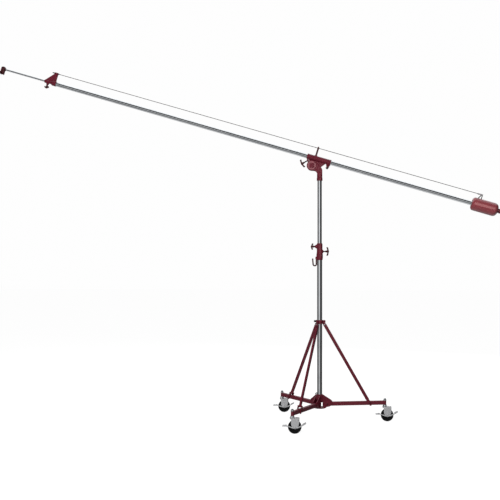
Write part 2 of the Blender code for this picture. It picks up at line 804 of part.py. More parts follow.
def front_anchor():
    """Threaded bolt through the fin, with its nut, and the cup that grips the wire's end."""
    low, high = -2.3040 - GAP, -2.2780 + GAP
    hold = running(WIRE_R, SMALL_SIDES)
    profile = [
        (PIN_R, FRONT_ANCHOR_FROM),
        (PIN_R, low - 0.006),
        (0.0075, low - 0.0055),
        (0.0075, low),
        (PIN_R, low),
        (PIN_R, high),
        (0.0060, high),
        (0.0052, FRONT_ANCHOR_TO),
        (hold, FRONT_ANCHOR_TO),
        (hold, high + 0.002),
    ]
    return placed(turned(profile, SMALL_SIDES), shift(z=WIRE_ABOVE) @ ALONG_X)


def rear_anchor_mesh():
    """Bent loop on the counterweight with the cup that grips the wire's end."""
    hold = running(WIRE_R, SMALL_SIDES)
    start, end = REAR_ANCHOR_AT - 0.034, REAR_ANCHOR_AT + 0.008
    cup = placed(
        turned([(0.0045, end), (0.0060, end - 0.004), (0.0060, start), (hold, start), (hold, end - 0.018)], SMALL_SIDES),
        shift(z=WIRE_ABOVE) @ ALONG_X,
    )
    foot = WEIGHT_R - 0.004
    loop = bent_rod(
        0.0030,
        [
            (REAR_ANCHOR_AT - 0.0225, foot),
            (REAR_ANCHOR_AT - 0.0035, WIRE_ABOVE - 0.002),
            (REAR_ANCHOR_AT + 0.0035, WIRE_ABOVE - 0.002),
            (REAR_ANCHOR_AT + 0.0040, foot),
        ],
    )
    return shaped(cup, [loop])


def counterweight_mesh():
    """Barrel with rounded shoulders, bored for the boom, with seats for the loop and the set screw."""
    front, rear = WEIGHT_FRONT_ROUND, WEIGHT_REAR_ROUND
    profile = arc((WEIGHT_R - front, WEIGHT_FROM + front), front, -90, 0, 4)
    profile += arc((WEIGHT_R - rear, WEIGHT_TO - rear), rear, 0, 90, 4)
    barrel = placed(turned(profile, half_step=True), ALONG_X)
    bore = placed(rod(running(BOOM_R), WEIGHT_FROM - 0.01, WEIGHT_TO + 0.01, SIDES), ALONG_X)
    seats = [
        placed(rod(0.0060, 0.040, 0.06, WIRE_SIDES), shift(REAR_ANCHOR_AT + along))
        for along in (-0.0225, 0.0040)
    ]
    screw = placed(rod(running(SCREW_R, SMALL_SIDES), -0.06, -0.010), shift(REAR_ANCHOR_AT + 0.070))
    return shaped(barrel, cuts=[bore, *seats, screw])


def set_screw():
    """Headless screw under the counterweight, bearing on the boom, with a hexagon recess."""
    tip, end = -BOOM_R - GAP, -0.047
    return turned([(SCREW_R, tip), (SCREW_R, end), (0.0028, end), (0.0028, end + 0.006)], SMALL_SIDES)


def tail_plug():
    """Stub that closes the boom behind the counterweight."""
    profile = [(BOOM_INNER_R - 2 * GAP, 1.432), (BOOM_INNER_R - 2 * GAP, WEIGHT_TO + GAP)]
    profile += [(TAIL_R, WEIGHT_TO + GAP), (TAIL_R, TAIL_END - 0.003), (TAIL_R - 0.003, TAIL_END)]
    return placed(turned(profile), ALONG_X)


def extension_rod():
    """Rod with a guide head that runs inside the boom."""
    head = BOOM_INNER_R - 2 * GAP
    profile = [(ROD_R - 0.001, RECEIVER_AT - 0.010), (ROD_R, RECEIVER_AT - 0.009), (ROD_R, ROD_TO - 0.030)]
    profile += [(head, ROD_TO - 0.028), (head, ROD_TO - 0.002), (ROD_R, ROD_TO)]
    return placed(turned(profile, SMALL_SIDES * 2), ALONG_X)


def receiver_mesh():
    """Lamp receiver: a downward socket with a notched rim, and a boss round the rod.

    Z = 0 is the rod's axis and X = 0 the socket's.
    """
    body = turned(
        [
            (RECEIVER_R - 0.0012, RECEIVER_BOTTOM),
            (RECEIVER_R, RECEIVER_BOTTOM + 0.002),
            (RECEIVER_R, 0.006),
            (0.0175, 0.013),
            (0.0135, 0.018),
            (0.0070, RECEIVER_TOP),
        ]
    )
    boss = placed(turned([(0.0130, 0.008), (0.0130, 0.0215), (0.0115, 0.0235)], SMALL_SIDES), ALONG_X)
    lock_boss = placed(rod(0.0085, 0.015, 0.0235), shift(z=RECEIVER_LOCK) @ turn(-90, "Y"))
    socket = rod(SOCKET_R, RECEIVER_BOTTOM - 0.01, SOCKET_ROOF, SIDES)
    notch = block((-0.0038, 0.0038), (-0.03, 0.03), (RECEIVER_BOTTOM - 0.01, RECEIVER_BOTTOM + 0.019))
    rod_hole = placed(rod(running(ROD_R), -0.0108, 0.05, SIDES), ALONG_X)
    lock = placed(
        rod(running(SCREW_R, SMALL_SIDES), 0.010, 0.05), shift(z=RECEIVER_LOCK) @ turn(-90, "Y")
    )
    return shaped(body, [boss, lock_boss], [socket, notch, rod_hole, lock])


def build_base(paint, stand):
    piece("base_hub", hub_mesh(), paint["maroon"], stand)
    column = tube(COLUMN_R, COLUMN_INNER_R, COLUMN_BOTTOM, COLUMN_TOP)
    piece("lower_column", column, paint["chrome"], stand)
    first_leg = turn(LEG_ANGLES[0], "Z")
    piece("lock_pin", lock_pin_mesh(), paint["steel"], stand, first_leg)
    piece("column_clamp", column_clamp_mesh(), paint["maroon"], stand)
    piece("cable_hook", cable_hook(), paint["steel"], stand)
    left = carrier("riser_lock_axis", stand, shift(-LEFT_BAR_AT, 0, RISER_LOCK_Z) @ turn(-90, "Y"))
    reach = LEFT_BAR_AT - RISER_R - 2 * GAP
    piece("riser_lock_handle", tee_handle_mesh(reach), paint["maroon"], left, turn(47, "Z"))
    right = carrier("column_lock_axis", stand, shift(RIGHT_BAR_AT, 0, COLUMN_LOCK_Z) @ ALONG_X)
    reach = RIGHT_BAR_AT - RISER_R - 2 * GAP
    piece("column_lock_handle", tee_handle_mesh(reach), paint["maroon"], right)


def build_legs(paint, stand):
    """Three legs, each with its hinge pin, brace, caster stem, fork, axle, wheel and brake pedal."""
    rake = math.radians(LEG_RAKE)
    across = HINGE_R + BRACE_ALONG_LEG * math.cos(rake) - BRACE_TOP_R
    up = BRACE_TOP_Z - HINGE_Z - BRACE_ALONG_LEG * math.sin(rake)
    length = math.hypot(across, up)
    lean = math.degrees(math.atan2(across, up))
    leg, brace = leg_mesh(), brace_mesh(length)
    fork, pedal = caster_fork_mesh(), brake_pedal_mesh()
    for number, angle in enumerate(LEG_ANGLES, start=1):
        about = turn(angle, "Z")
        raked = shift(HINGE_R, 0, HINGE_Z) @ turn(-LEG_RAKE, "Y")
        hinge = carrier(f"leg_hinge_{number}", stand, about @ raked)
        grip = LEG_WIDTH / 2 + 0.0004 + CHEEK + GAP
        piece(f"leg_hinge_pin_{number}", rivet(grip), paint["steel"], hinge)
        piece(f"leg_{number}", leg, paint["maroon"], hinge)
        leaning = shift(BRACE_ALONG_LEG) @ turn(LEG_RAKE - lean, "Y")
        foot = carrier(f"brace_hinge_{number}", hinge, leaning)
        piece(f"brace_{number}", brace, paint["maroon"], foot)
        grip = LEG_WIDTH / 2 + 0.0004 + STRAP + GAP
        piece(f"brace_pin_{number}", rivet(grip), paint["steel"], foot)
        top_pin = rivet(BRACE_WIDTH / 2 + GAP, 0.0065, 0.0025)
        piece(f"brace_top_pin_{number}", top_pin, paint["zinc"], foot, shift(z=length))
        x, y = polar(STEM_AT_R, math.radians(angle))
        swivel = carrier(f"caster_swivel_{number}", stand, shift(x, y))
        piece(f"caster_stem_{number}", caster_stem(), paint["zinc"], swivel)
        piece(f"caster_fork_{number}", fork, paint["zinc"], swivel)
        axle = carrier(f"wheel_axis_{number}", swivel, shift(TRAIL, 0, WHEEL_R))
        piece(f"caster_axle_{number}", caster_axle(), paint["zinc"], axle)
        piece(f"caster_wheel_{number}", caster_wheel(), paint["tyre"], axle)
        piece(f"brake_pedal_{number}", pedal, paint["zinc"], axle)


def build_collar(paint, stand):
    piece("brace_collar", brace_collar_mesh(), paint["maroon"], stand)
    height = (RING_BOTTOM + RING_TOP) / 2 + 0.006
    outward = turn(COLLAR_SCREW_ANGLE, "Z") @ shift(z=height) @ ALONG_X
    piece("collar_screw", collar_screw(), paint["steel"], stand, outward)


def build_head(paint, stand):
    riser = tube(RISER_R, RISER_INNER_R, RISER_BOTTOM, RISER_TOP)
    piece("riser_tube", riser, paint["chrome"], stand)
    piece("swivel_yoke", yoke_mesh(), paint["maroon"], stand)
    pivot = carrier("tilt_axis", stand, shift(*centre_3d()) @ Matrix.Rotation(BOOM_TILT, 4, "Y"))
    piece("tilt_bolt", tilt_bolt(), paint["maroon"], stand, shift(*centre_3d()))
    piece("tilt_nut", tilt_nut(), paint["steel"], stand, shift(*centre_3d()))
    piece("boom_saddle", saddle_mesh(), paint["maroon"], pivot)
    post_at = shift(POST_ALONG, 0, BOOM_ABOVE_PIVOT)
    piece("truss_post", truss_post(), paint["maroon"], pivot, post_at)
    ear = Matrix.Rotation(-EAR_ANGLE, 4, "Y") @ shift(EAR_RADIUS)
    lock = carrier("tilt_lock_axis", pivot, ear @ shift(z=TILT_BAR_AT))
    piece("tilt_lock_handle", tee_handle_mesh(TILT_BAR_AT + 0.0080), paint["maroon"], lock)
    below = shift(BOOM_LOCK_ALONG, 0, BOOM_ABOVE_PIVOT - BOOM_BAR_BELOW) @ turn(180, "X")
    lock = carrier("boom_lock_axis", pivot, below)
    handle = tee_handle_mesh(BOOM_BAR_BELOW - BOOM_R - 2 * GAP, neck=0.0095)
    piece("boom_lock_handle", handle, paint["maroon"], lock, turn(80, "Z"))
    return pivot


def build_boom(paint, pivot):
    boom = carrier("boom_axis", pivot, shift(z=BOOM_ABOVE_PIVOT))
    main = placed(tube(BOOM_R, BOOM_INNER_R, BOOM_FROM, BOOM_TO), ALONG_X)
    piece("boom_tube", main, paint["chrome"], boom)
    piece("front_bracket", front_bracket_mesh(), paint["maroon"], boom)
    piece("wire_front_anchor", front_anchor(), paint["steel"], boom)
    piece("wire_rear_anchor", rear_anchor_mesh(), paint["steel"], boom)
    start = -2.2780 + 2 * GAP + 0.002 + GAP
    end = REAR_ANCHOR_AT + 0.008 - 0.018 - GAP
    wire = placed(rod(WIRE_R, start, end, WIRE_SIDES), shift(z=WIRE_ABOVE) @ ALONG_X)
    piece("truss_wire", wire, paint["cable"], boom)
    piece("counterweight", counterweight_mesh(), paint["maroon_gloss"], boom)
    piece("counterweight_screw", set_screw(), paint["steel"], boom, shift(REAR_ANCHOR_AT + 0.070))
    piece("tail_plug", tail_plug(), paint["maroon"], boom)
    lock = carrier("rod_lock_axis", boom, shift(ROD_LOCK_AT, 0, -0.050) @ turn(180, "X"))
    handle = tee_handle_mesh(0.050 - ROD_R - 2 * GAP)
    piece("rod_lock_handle", handle, paint["maroon"], lock, turn(46, "Z"))
    piece("extension_rod", extension_rod(), paint["chrome"], boom)
    receiver = carrier("receiver_axis", boom, shift(RECEIVER_AT))
    piece("lamp_receiver", receiver_mesh(), paint["maroon"], receiver)
    lock = carrier("receiver_lock_axis", receiver, shift(-0.057, 0, RECEIVER_LOCK) @ turn(-90, "Y"))
    piece("receiver_lock_handle", tee_handle_mesh(0.057 - SOCKET_R - GAP), paint["maroon"], lock, turn(90, "Z"))


def main():
    clear_scene()
    paint = make_materials()
    stand = carrier("stand_centre", None, shift(*COLUMN_AT))
    build_base(paint, stand)
    build_legs(paint, stand)
    build_collar(paint, stand)
    pivot = build_head(paint, stand)
    build_boom(paint, pivot)


main()
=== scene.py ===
"""Finish of the boom light stand: fine castings, drawn tubes, casters, handles and a laid steel wire.

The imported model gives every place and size. Each operator dresses one group of its pieces, and the last
one sets the floor, the lamps and the camera.
"""

import json
import math

import bmesh
import bpy
from bpy.props import FloatProperty, FloatVectorProperty, IntProperty, PointerProperty
from mathutils import Matrix, Vector

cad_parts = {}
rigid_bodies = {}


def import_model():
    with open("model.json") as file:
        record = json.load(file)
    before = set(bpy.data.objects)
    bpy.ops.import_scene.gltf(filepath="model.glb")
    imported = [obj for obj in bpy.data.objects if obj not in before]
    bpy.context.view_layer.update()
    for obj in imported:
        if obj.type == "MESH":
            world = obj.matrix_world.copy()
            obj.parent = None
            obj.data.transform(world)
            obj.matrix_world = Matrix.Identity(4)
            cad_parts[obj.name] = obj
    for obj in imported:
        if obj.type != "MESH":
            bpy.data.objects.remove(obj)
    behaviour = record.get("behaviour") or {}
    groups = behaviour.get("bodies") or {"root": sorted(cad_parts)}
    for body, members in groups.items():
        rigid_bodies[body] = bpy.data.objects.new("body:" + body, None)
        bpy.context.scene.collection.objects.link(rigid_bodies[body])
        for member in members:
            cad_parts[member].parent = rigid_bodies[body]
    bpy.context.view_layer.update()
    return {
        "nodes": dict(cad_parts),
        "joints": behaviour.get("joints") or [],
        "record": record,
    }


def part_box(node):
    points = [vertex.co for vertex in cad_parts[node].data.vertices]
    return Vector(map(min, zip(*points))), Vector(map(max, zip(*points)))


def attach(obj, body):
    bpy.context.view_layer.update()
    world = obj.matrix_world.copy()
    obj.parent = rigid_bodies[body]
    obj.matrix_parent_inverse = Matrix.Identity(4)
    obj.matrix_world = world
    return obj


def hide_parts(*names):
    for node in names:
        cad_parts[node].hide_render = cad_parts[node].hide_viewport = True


bl_info = {
    "name": "Boom Light Stand",
    "version": (1, 0, 0),
    "blender": (4, 5, 0),
    "location": "3D View > Sidebar > Boom Stand",
    "description": "Dresses a wheeled boom light stand and sets a plain studio round it",
    "category": "Object",
}

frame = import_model()

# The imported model's own facts
NODES = frame["nodes"]
JOINTS = {joint["name"]: joint for joint in frame["joints"]}
BODY_OF = {n: body for body, names in frame["record"]["behaviour"]["bodies"].items() for n in names}

GAP = 0.0003  # between pieces that touch
CURVE = 5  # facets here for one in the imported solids
SIDES = 96  # of a tube or another main round piece
SMALL_SIDES = 40  # of a screw, boss or bolt
LEGS = (1, 2, 3)
SOFT = 180.0  # shades a moulded surface smooth all over
CRISP = 20.0  # keeps the narrow bevels' own edges
COARSER = 1.1  # the facets of the hub and the front bracket, against those of their kind
FIRM = 5  # rounds of smoothing on a pressing or a handle, whose corners are tighter than a casting's
WHITE = (1.0, 1.0, 1.0, 1.0)

# Sizes that pieces share
SCREW_R = 0.005
PIN_R = 0.004
BOOM_R = 0.0175
RISER_R = 0.0175
COLUMN_R = 0.0205
COLUMN_INNER_R = 0.0181
TUBE_INNER_R = 0.0150  # of the riser and the boom
ROD_R = 0.008
LEG_WIDTH = 0.026
LEG_HEIGHT = 0.032
ASTRIDE = LEG_WIDTH / 2 + 0.0004  # from a leg's middle to the inside of what straddles it
HUB_CHEEK = 0.006
BRACE_STRAP = 0.004
BRACE_WIDTH = 0.013
LUG = 0.0052  # thickness of each of the brace collar's lugs
FORK_HALF = 0.0185  # from the middle of a caster's fork to its plates
FORK_PLATE = 0.0028
TILT_BOLT_R = 0.006
YOKE_HALF = 0.0155
POST_R = 0.007
POST_ALONG = 0.009  # from the tilt pivot to the truss post
WIRE_R = 0.0024
WIRE_ABOVE = 0.0855  # from the boom's axis to the wire's
LOOP_AT = 1.353  # along the boom, where the wire's loop stands on the counterweight
SET_SCREW_AT = 1.423


def turn(degrees, axis):
    return Matrix.Rotation(math.radians(degrees), 4, axis)


def shift(x=0.0, y=0.0, z=0.0):
    return Matrix.Translation((x, y, z))


ALONG_X = turn(90, "Y")  # a shape turned about Z, laid along +X
ALONG_Y = turn(-90, "X")  # and along +Y
BACKWARDS = turn(-90, "Y")  # and along -X


def crosswise(x, z):
    """Where a shape turned about Z lies along +Y through a point of the XZ plane."""
    return shift(x, 0, z) @ ALONG_Y


def axes(origin, x, y, z):
    """The matrix of a local frame from its origin and its three directions."""
    made = Matrix((x, y, z)).transposed().to_4x4()
    made.translation = origin
    return made


def joint_at(name):
    return Vector(JOINTS[name]["pos_m"])


def joint_axis(name):
    return Vector(JOINTS[name]["axis"]).normalized()


def middle(node):
    low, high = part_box(node)
    return (low + high) / 2


def extent(node, place):
    """A node's lowest and highest corner in a local frame."""
    back = place.inverted()
    points = [back @ vertex.co for vertex in NODES[node].data.vertices]
    low = Vector(min(point[i] for point in points) for i in range(3))
    high = Vector(max(point[i] for point in points) for i in range(3))
    return low, high


def column_place():
    centre = middle("lower_column")
    return shift(centre.x, centre.y)


def tilted_place():
    """Origin on the tilt pivot, X along the boom towards the counterweight, Z up across it."""
    along = joint_axis("boom_slide")
    across = Vector((0, 1, 0))
    return axes(joint_at("boom_tilt"), along, across, along.cross(across))


def boom_place():
    """As tilted_place, with its origin on the boom's own axis."""
    pivot = tilted_place()
    return pivot @ shift(z=(pivot.inverted() @ middle("boom_tube")).z)


def leg_place(number):
    """Origin on the leg's hinge, X along the leg."""
    hinge = joint_at(f"leg_fold_{number}")
    along = (joint_at(f"brace_fold_{number}") - hinge).normalized()
    across = -joint_axis(f"leg_fold_{number}")
    return axes(hinge, along, across, along.cross(across))


def brace_place(number):
    """Origin on the brace's lower pin, Z towards its upper one."""
    foot = joint_at(f"brace_fold_{number}")
    up = (middle(f"brace_top_pin_{number}") - foot).normalized()
    across = joint_axis(f"brace_fold_{number}")
    return axes(foot, across.cross(up), across, up)


def receiver_place():
    place = tilted_place()
    place.translation = joint_at("receiver_roll")
    return place


def handle_place(node, joint):
    """Origin in the middle of a T-handle's bar, X along the bar, Z away from the screw's tip."""
    origin, up = joint_at(joint), joint_axis(joint)
    reaches = []
    for vertex in NODES[node].data.vertices:
        offset = vertex.co - origin
        reaches.append(offset - up * offset.dot(up))
    longest = max(reaches, key=lambda reach: reach.length)
    same_end = [reach for reach in reaches if reach.dot(longest) > 0.9 * longest.length_squared]
    along = sum(same_end, Vector()).normalized()
    return axes(origin, along, up.cross(along), up)


# Finishes

def linear(code):
    """An sRGB hex colour as Blender's linear red, green, blue and alpha."""
    values = [int(code[i : i + 2], 16) / 255 for i in (1, 3, 5)]
    return (*[v / 12.92 if v <= 0.04045 else ((v + 0.055) / 1.055) ** 2.4 for v in values], 1.0)


def shade(colour, share, lift=0.0):
    """A darker or paler colour."""
    return (*[min(1.0, value * share + lift) for value in colour[:3]], 1.0)


def add(tree, kind, inputs=None, **settings):
    """Adds a node. Each input is given a value, or the output that feeds it."""
    made = tree.nodes.new(kind)
    for name, value in settings.items():
        setattr(made, name, value)
    for name, value in (inputs or {}).items():
        if isinstance(value, bpy.types.NodeSocket):
            tree.links.new(value, made.inputs[name])
        else:
            made.inputs[name].default_value = value
    return made


def maths(tree, operation, first, second=0.0):
    return add(tree, "ShaderNodeMath", {0: first, 1: second}, operation=operation).outputs["Value"]


def new_material(name):
    made = bpy.data.materials.new(name)
    made.use_nodes = True
    return made, made.node_tree, made.node_tree.nodes["Principled BSDF"]


def grain(tree, per_metre, detail=3.0, lengthwise=None, stretch=12.0):
    """Noise with so many features to the metre, drawn out along a direction if one is given."""
    place = add(tree, "ShaderNodeTexCoord").outputs["Object"]
    if lengthwise is not None:
        aligned = lengthwise.rotation_difference(Vector((0, 0, 1))).to_euler()
        inputs = {"Vector": place, "Rotation": aligned, "Scale": (1.0, 1.0, 1.0 / stretch)}
        place = add(tree, "ShaderNodeMapping", inputs).outputs["Vector"]
    noise = add(tree, "ShaderNodeTexNoise", {"Vector": place, "Scale": per_metre, "Detail": detail})
    return noise.outputs["Fac"]


def spread(tree, source, low=0.0, high=1.0, start=0.3, end=0.7):
    """A value turned from one range into another."""
    inputs = {"Value": source, "From Min": start, "From Max": end, "To Min": low, "To Max": high}
    return add(tree, "ShaderNodeMapRange", inputs).outputs["Result"]


def between(tree, share, low, high):
    """A colour between two, by a share."""
    inputs = {"Factor": share, "A": low, "B": high}
    return add(tree, "ShaderNodeMix", inputs, data_type="RGBA").outputs["Result"]


def bump(tree, source, strength, height):
    inputs = {"Height": source, "Strength": strength, "Distance": height}
    return add(tree, "ShaderNodeBump", inputs).outputs["Normal"]


def chrome_plate(name, lengthwise):
    """Polished drawn steel, chrome plated: a mirror with faint haze and lengthwise rubs from the clamps."""
    made, tree, shader = new_material(name)
    # Real rubs are finer than 1 mm and wouldn't show, so these are 2.4 mm apart
    rubs = grain(tree, 420.0, lengthwise=lengthwise, stretch=40.0)
    haze = grain(tree, 14.0, detail=2.0)  # uneven polish, about 70 mm across
    dulled = maths(tree, "MULTIPLY", rubs, haze)
    tree.links.new(spread(tree, dulled, 0.04, 0.11, 0.15, 0.45), shader.inputs["Roughness"])
    tint = between(tree, spread(tree, haze), linear("#C9CBCD"), linear("#DADBDC"))
    tree.links.new(tint, shader.inputs["Base Color"])
    tree.links.new(bump(tree, rubs, 0.05, 0.00005), shader.inputs["Normal"])
    shader.inputs["Metallic"].default_value = 1.0
    return made


def enamel(name, colour, roughness=0.36, coat_share=0.12):
    """Stoved enamel on a casting or tube: a little orange peel, thicker in places, rubbed edges."""
    made, tree, shader = new_material(name)
    pools = spread(tree, grain(tree, 45.0))  # thicker and darker, about 22 mm across
    body = between(tree, pools, shade(colour, 0.78), colour)
    edges = add(tree, "ShaderNodeNewGeometry").outputs["Pointiness"]
    chips = spread(tree, grain(tree, 160.0), 0.0, 0.8)  # rubbed spots, about 6 mm apart
    worn = maths(tree, "MULTIPLY", spread(tree, edges, 0.0, 1.0, 0.53, 0.62), chips)
    tree.links.new(between(tree, worn, body, shade(colour, 1.5, 0.02)), shader.inputs["Base Color"])
    # Real orange peel is about 1 mm and wouldn't show, so it is 2.4 mm apart
    peel = grain(tree, 420.0, detail=1.5)
    tree.links.new(spread(tree, peel, roughness - 0.04, roughness + 0.06), shader.inputs["Roughness"])
    tree.links.new(bump(tree, peel, 0.12, 0.0003), shader.inputs["Normal"])
    shader.inputs["Specular IOR Level"].default_value = 0.32
    shader.inputs["Coat Weight"].default_value = coat_share
    shader.inputs["Coat Roughness"].default_value = 0.20
    return made


def zinc_plate(name, colour):
    """Bright zinc on pressed steel: pale, slightly blotched, with fine rolling lines."""
    made, tree, shader = new_material(name)
    bloom = spread(tree, grain(tree, 130.0, detail=5.0))  # blotches about 8 mm across
    tree.links.new(between(tree, bloom, shade(colour, 0.80), colour), shader.inputs["Base Color"])
    # Real rolling lines are about 0.2 mm apart and wouldn't show, so these are 1.1 mm
    lines = grain(tree, 900.0, lengthwise=Vector((1, 0, 0)), stretch=18.0)
    tree.links.new(spread(tree, lines, 0.28, 0.44), shader.inputs["Roughness"])
    tree.links.new(bump(tree, lines, 0.08, 0.0001), shader.inputs["Normal"])
    shader.inputs["Metallic"].default_value = 0.6  # part oxide, which scatters
    return made


def black_oxide(name, colour):
    """Oiled black oxide on turned steel: near black with a brown cast and a soft shine."""
    made, tree, shader = new_material(name)
    oil = spread(tree, grain(tree, 220.0))  # patches about 5 mm across
    tree.links.new(between(tree, oil, shade(colour, 0.6), colour), shader.inputs["Base Color"])
    # Real tool marks and pits are finer than 0.5 mm and wouldn't show, so these are 1.4 and 1.1 mm apart
    tree.links.new(spread(tree, grain(tree, 700.0), 0.34, 0.52), shader.inputs["Roughness"])
    tree.links.new(bump(tree, grain(tree, 900.0), 0.10, 0.0001), shader.inputs["Normal"])
    shader.inputs["Metallic"].default_value = 0.75  # the oxide and its oil dull the steel
    return made


def galvanised_wire(name):
    """Galvanised steel strand, dulled by years of grease: dark grey with dirt in the lay."""
    made, tree, shader = new_material(name)
    dirt = spread(tree, grain(tree, 90.0, detail=4.0))  # patches about 11 mm long
    tree.links.new(between(tree, dirt, linear("#2A2726"), linear("#4A4543")), shader.inputs["Base Color"])
    # The grease's own grain is finer and wouldn't show, so it is 1.7 mm
    tree.links.new(spread(tree, grain(tree, 600.0), 0.42, 0.6), shader.inputs["Roughness"])
    shader.inputs["Metallic"].default_value = 0.35  # mostly grease and dirt
    return made


def moulded_black(name, colour, roughness):
    """Moulded black rubber, or the harder nylon of the wheels: matt, with a little dust in its pores."""
    made, tree, shader = new_material(name)
    dust = spread(tree, grain(tree, 260.0, detail=5.0), 0.0, 1.0, 0.4, 0.8)  # about 4 mm apart
    tree.links.new(between(tree, dust, colour, shade(colour, 1.0, 0.006)), shader.inputs["Base Color"])
    tree.links.new(spread(tree, grain(tree, 500.0), roughness, roughness + 0.2), shader.inputs["Roughness"])
    # Real pores are finer than 0.5 mm and wouldn't show, so these are 0.9 mm apart
    tree.links.new(bump(tree, grain(tree, 1100.0), 0.25, 0.0002), shader.inputs["Normal"])
    shader.inputs["Specular IOR Level"].default_value = 0.3
    return made


# Shapes

def polar(radius, angle):
    return radius * math.cos(angle), radius * math.sin(angle)


def arc(centre, radius, start, end, steps):
    """Points from one angle to another, in degrees, both ends included."""
    steps *= CURVE
    angles = [math.radians(start + (end - start) * i / steps) for i in range(steps + 1)]
    return [(centre[0] + radius * math.cos(a), centre[1] + radius * math.sin(a)) for a in angles]


def running(radius, sides=SIDES):
    """The radius of a faceted bore whose flats clear a shaft of this radius."""
    return (radius + GAP) / math.cos(math.pi / sides)


def skinned(outlines, endless=False):
    """Skins outlines of equal length, capping the ends unless the last outline meets the first."""
    bm = bmesh.new()
    rings = [[bm.verts.new(point) for point in outline] for outline in outlines]
    count = len(rings[0])
    following = rings[1:] + rings[:1] if endless else rings[1:]
    for low, high in zip(rings, following):
        for i in range(count):
            j = (i + 1) % count
            bm.faces.new((low[i], low[j], high[j], high[i]))
    if not endless:
        bm.faces.new(rings[0])
        bm.faces.new(rings[-1])
    bmesh.ops.recalc_face_normals(bm, faces=bm.faces)
    return bm


def turned(profile, sides=SIDES, endless=False):
    """A solid of revolution about Z through (radius, height) points; endless joins last to first."""
    angles = [2 * math.pi * i / sides for i in range(sides)]
    return skinned([[(*polar(radius, a), height) for a in angles] for radius, height in profile], endless)


def mirrored(profile):
    """The lower half of a profile, from its upper half."""
    return [(radius, -height) for radius, height in reversed(profile)]


def rod(radius, low, high, sides=SMALL_SIDES):
    return turned([(radius, low), (radius, high)], sides)


def plate(outline, low, high):
    """An outline in X and Z, between two values of Y."""
    return skinned([[(x, y, z) for x, z in outline] for y in (low, high)])


def block(x, y, z):
    return plate([(x[0], z[0]), (x[1], z[0]), (x[1], z[1]), (x[0], z[1])], *y)


def bent_rod(radius, points, sides=24):
    """A round rod along points in the XZ plane, mitred at each, with its ends rounded over."""
    path = [(Vector(point), 1.0) for point in points]
    for end, inner in ((0, 1), (-1, -2)):
        tip, before = Vector(points[end]), Vector(points[inner])
        outward = (tip - before).normalized()
        slopes = (0.0, 0.4, 0.8, 1.2, 1.5)
        domes = [(tip + outward * radius * (math.sin(a) - 1.0), math.cos(a)) for a in slopes]
        path = [*reversed(domes), *path[1:]] if end == 0 else [*path[:-1], *domes]
    outlines = []
    for i, (point, share) in enumerate(path):
        along = (path[min(i + 1, len(path) - 1)][0] - path[max(i - 1, 0)][0]).normalized()
        across = Vector((-along.y, along.x))
        outline = []
        for step in range(sides):
            side, up = polar(radius * share, 2 * math.pi * step / sides)
            outline.append((point.x + across.x * side, up, point.y + across.y * side))
        outlines.append(outline)
    return skinned(outlines)


def placed(bm, matrix):
    bm.transform(matrix)
    return bm


def bore(radius, low, high, place, sides=SMALL_SIDES):
    """A round cut about a place's Z, with room for a shaft of this radius."""
    return placed(rod(running(radius), low, high, sides), place)


def as_mesh(shape):
    """A mesh from a bmesh, or the mesh itself."""
    if not isinstance(shape, bmesh.types.BMesh):
        return shape
    mesh = bpy.data.meshes.new("shape")
    shape.to_mesh(mesh)
    shape.free()
    return mesh


def together(shapes):
    """Several loose shapes as one."""
    whole = bmesh.new()
    for shape in shapes:
        mesh = as_mesh(shape)
        whole.from_mesh(mesh)
        bpy.data.meshes.remove(mesh)
    return whole


def temporary(shape):
    """A working object; its flat faces are cut into triangles, so that a Boolean can split them."""
    if isinstance(shape, bmesh.types.BMesh):
        bmesh.ops.triangulate(shape, faces=[face for face in shape.faces if len(face.verts) > 4])
    obj = bpy.data.objects.new("shape", as_mesh(shape))
    bpy.context.scene.collection.objects.link(obj)
    return obj


def evaluated(obj, helpers=()):
    """The object's mesh with its modifiers applied; the object and its helpers are removed."""
    graph = bpy.context.evaluated_depsgraph_get()
    mesh = bpy.data.meshes.new_from_object(obj.evaluated_get(graph))
    for used in [obj, *helpers]:
        bpy.data.objects.remove(used)
    return mesh


def shaped(base, joins=(), cuts=()):
    """The base with each join added and then each cut taken away, as one finished mesh."""
    body = temporary(base)
    helpers = []
    for operation, shapes in (("UNION", joins), ("DIFFERENCE", cuts)):
        for shape in shapes:
            helper = temporary(shape)
            modifier = body.modifiers.new("step", "BOOLEAN")
            modifier.operation = operation
            modifier.object = helper
            helpers.append(helper)
    return evaluated(body, helpers)


def moulded(mesh, size, passes):
    """Rounds every corner as a mould or a press does: even quads of one size, smoothed a few times."""
    obj = temporary(mesh)
    quads = obj.modifiers.new("quads", "REMESH")
    quads.mode = "VOXEL"
    quads.voxel_size = size
    soft = obj.modifiers.new("soft", "SMOOTH")
    soft.factor = 0.5
    soft.iterations = passes
    return evaluated(obj)


def eased(mesh, width):
    """Breaks the sharp edges with a narrow bevel."""
    obj = temporary(mesh)
    edge = obj.modifiers.new("edge", "BEVEL")
    edge.width = width
    edge.segments = 2
    edge.limit_method = "ANGLE"
    edge.angle_limit = math.radians(38.0)
    edge.use_clamp_overlap = True
    return evaluated(obj)


# Trees for what repeats

def new_tree(name, sockets):
    """A tree that takes a mesh and named sizes and gives a mesh; returns it with its inputs by name."""
    tree = bpy.data.node_groups.new(name, "GeometryNodeTree")
    tree.is_modifier = True
    tree.interface.new_socket("Geometry", in_out="OUTPUT", socket_type="NodeSocketGeometry")
    tree.interface.new_socket("Geometry", in_out="INPUT", socket_type="NodeSocketGeometry")
    for socket, kind in sockets:
        tree.interface.new_socket(socket, in_out="INPUT", socket_type=f"NodeSocket{kind}")
    return tree, add(tree, "NodeGroupInput").outputs


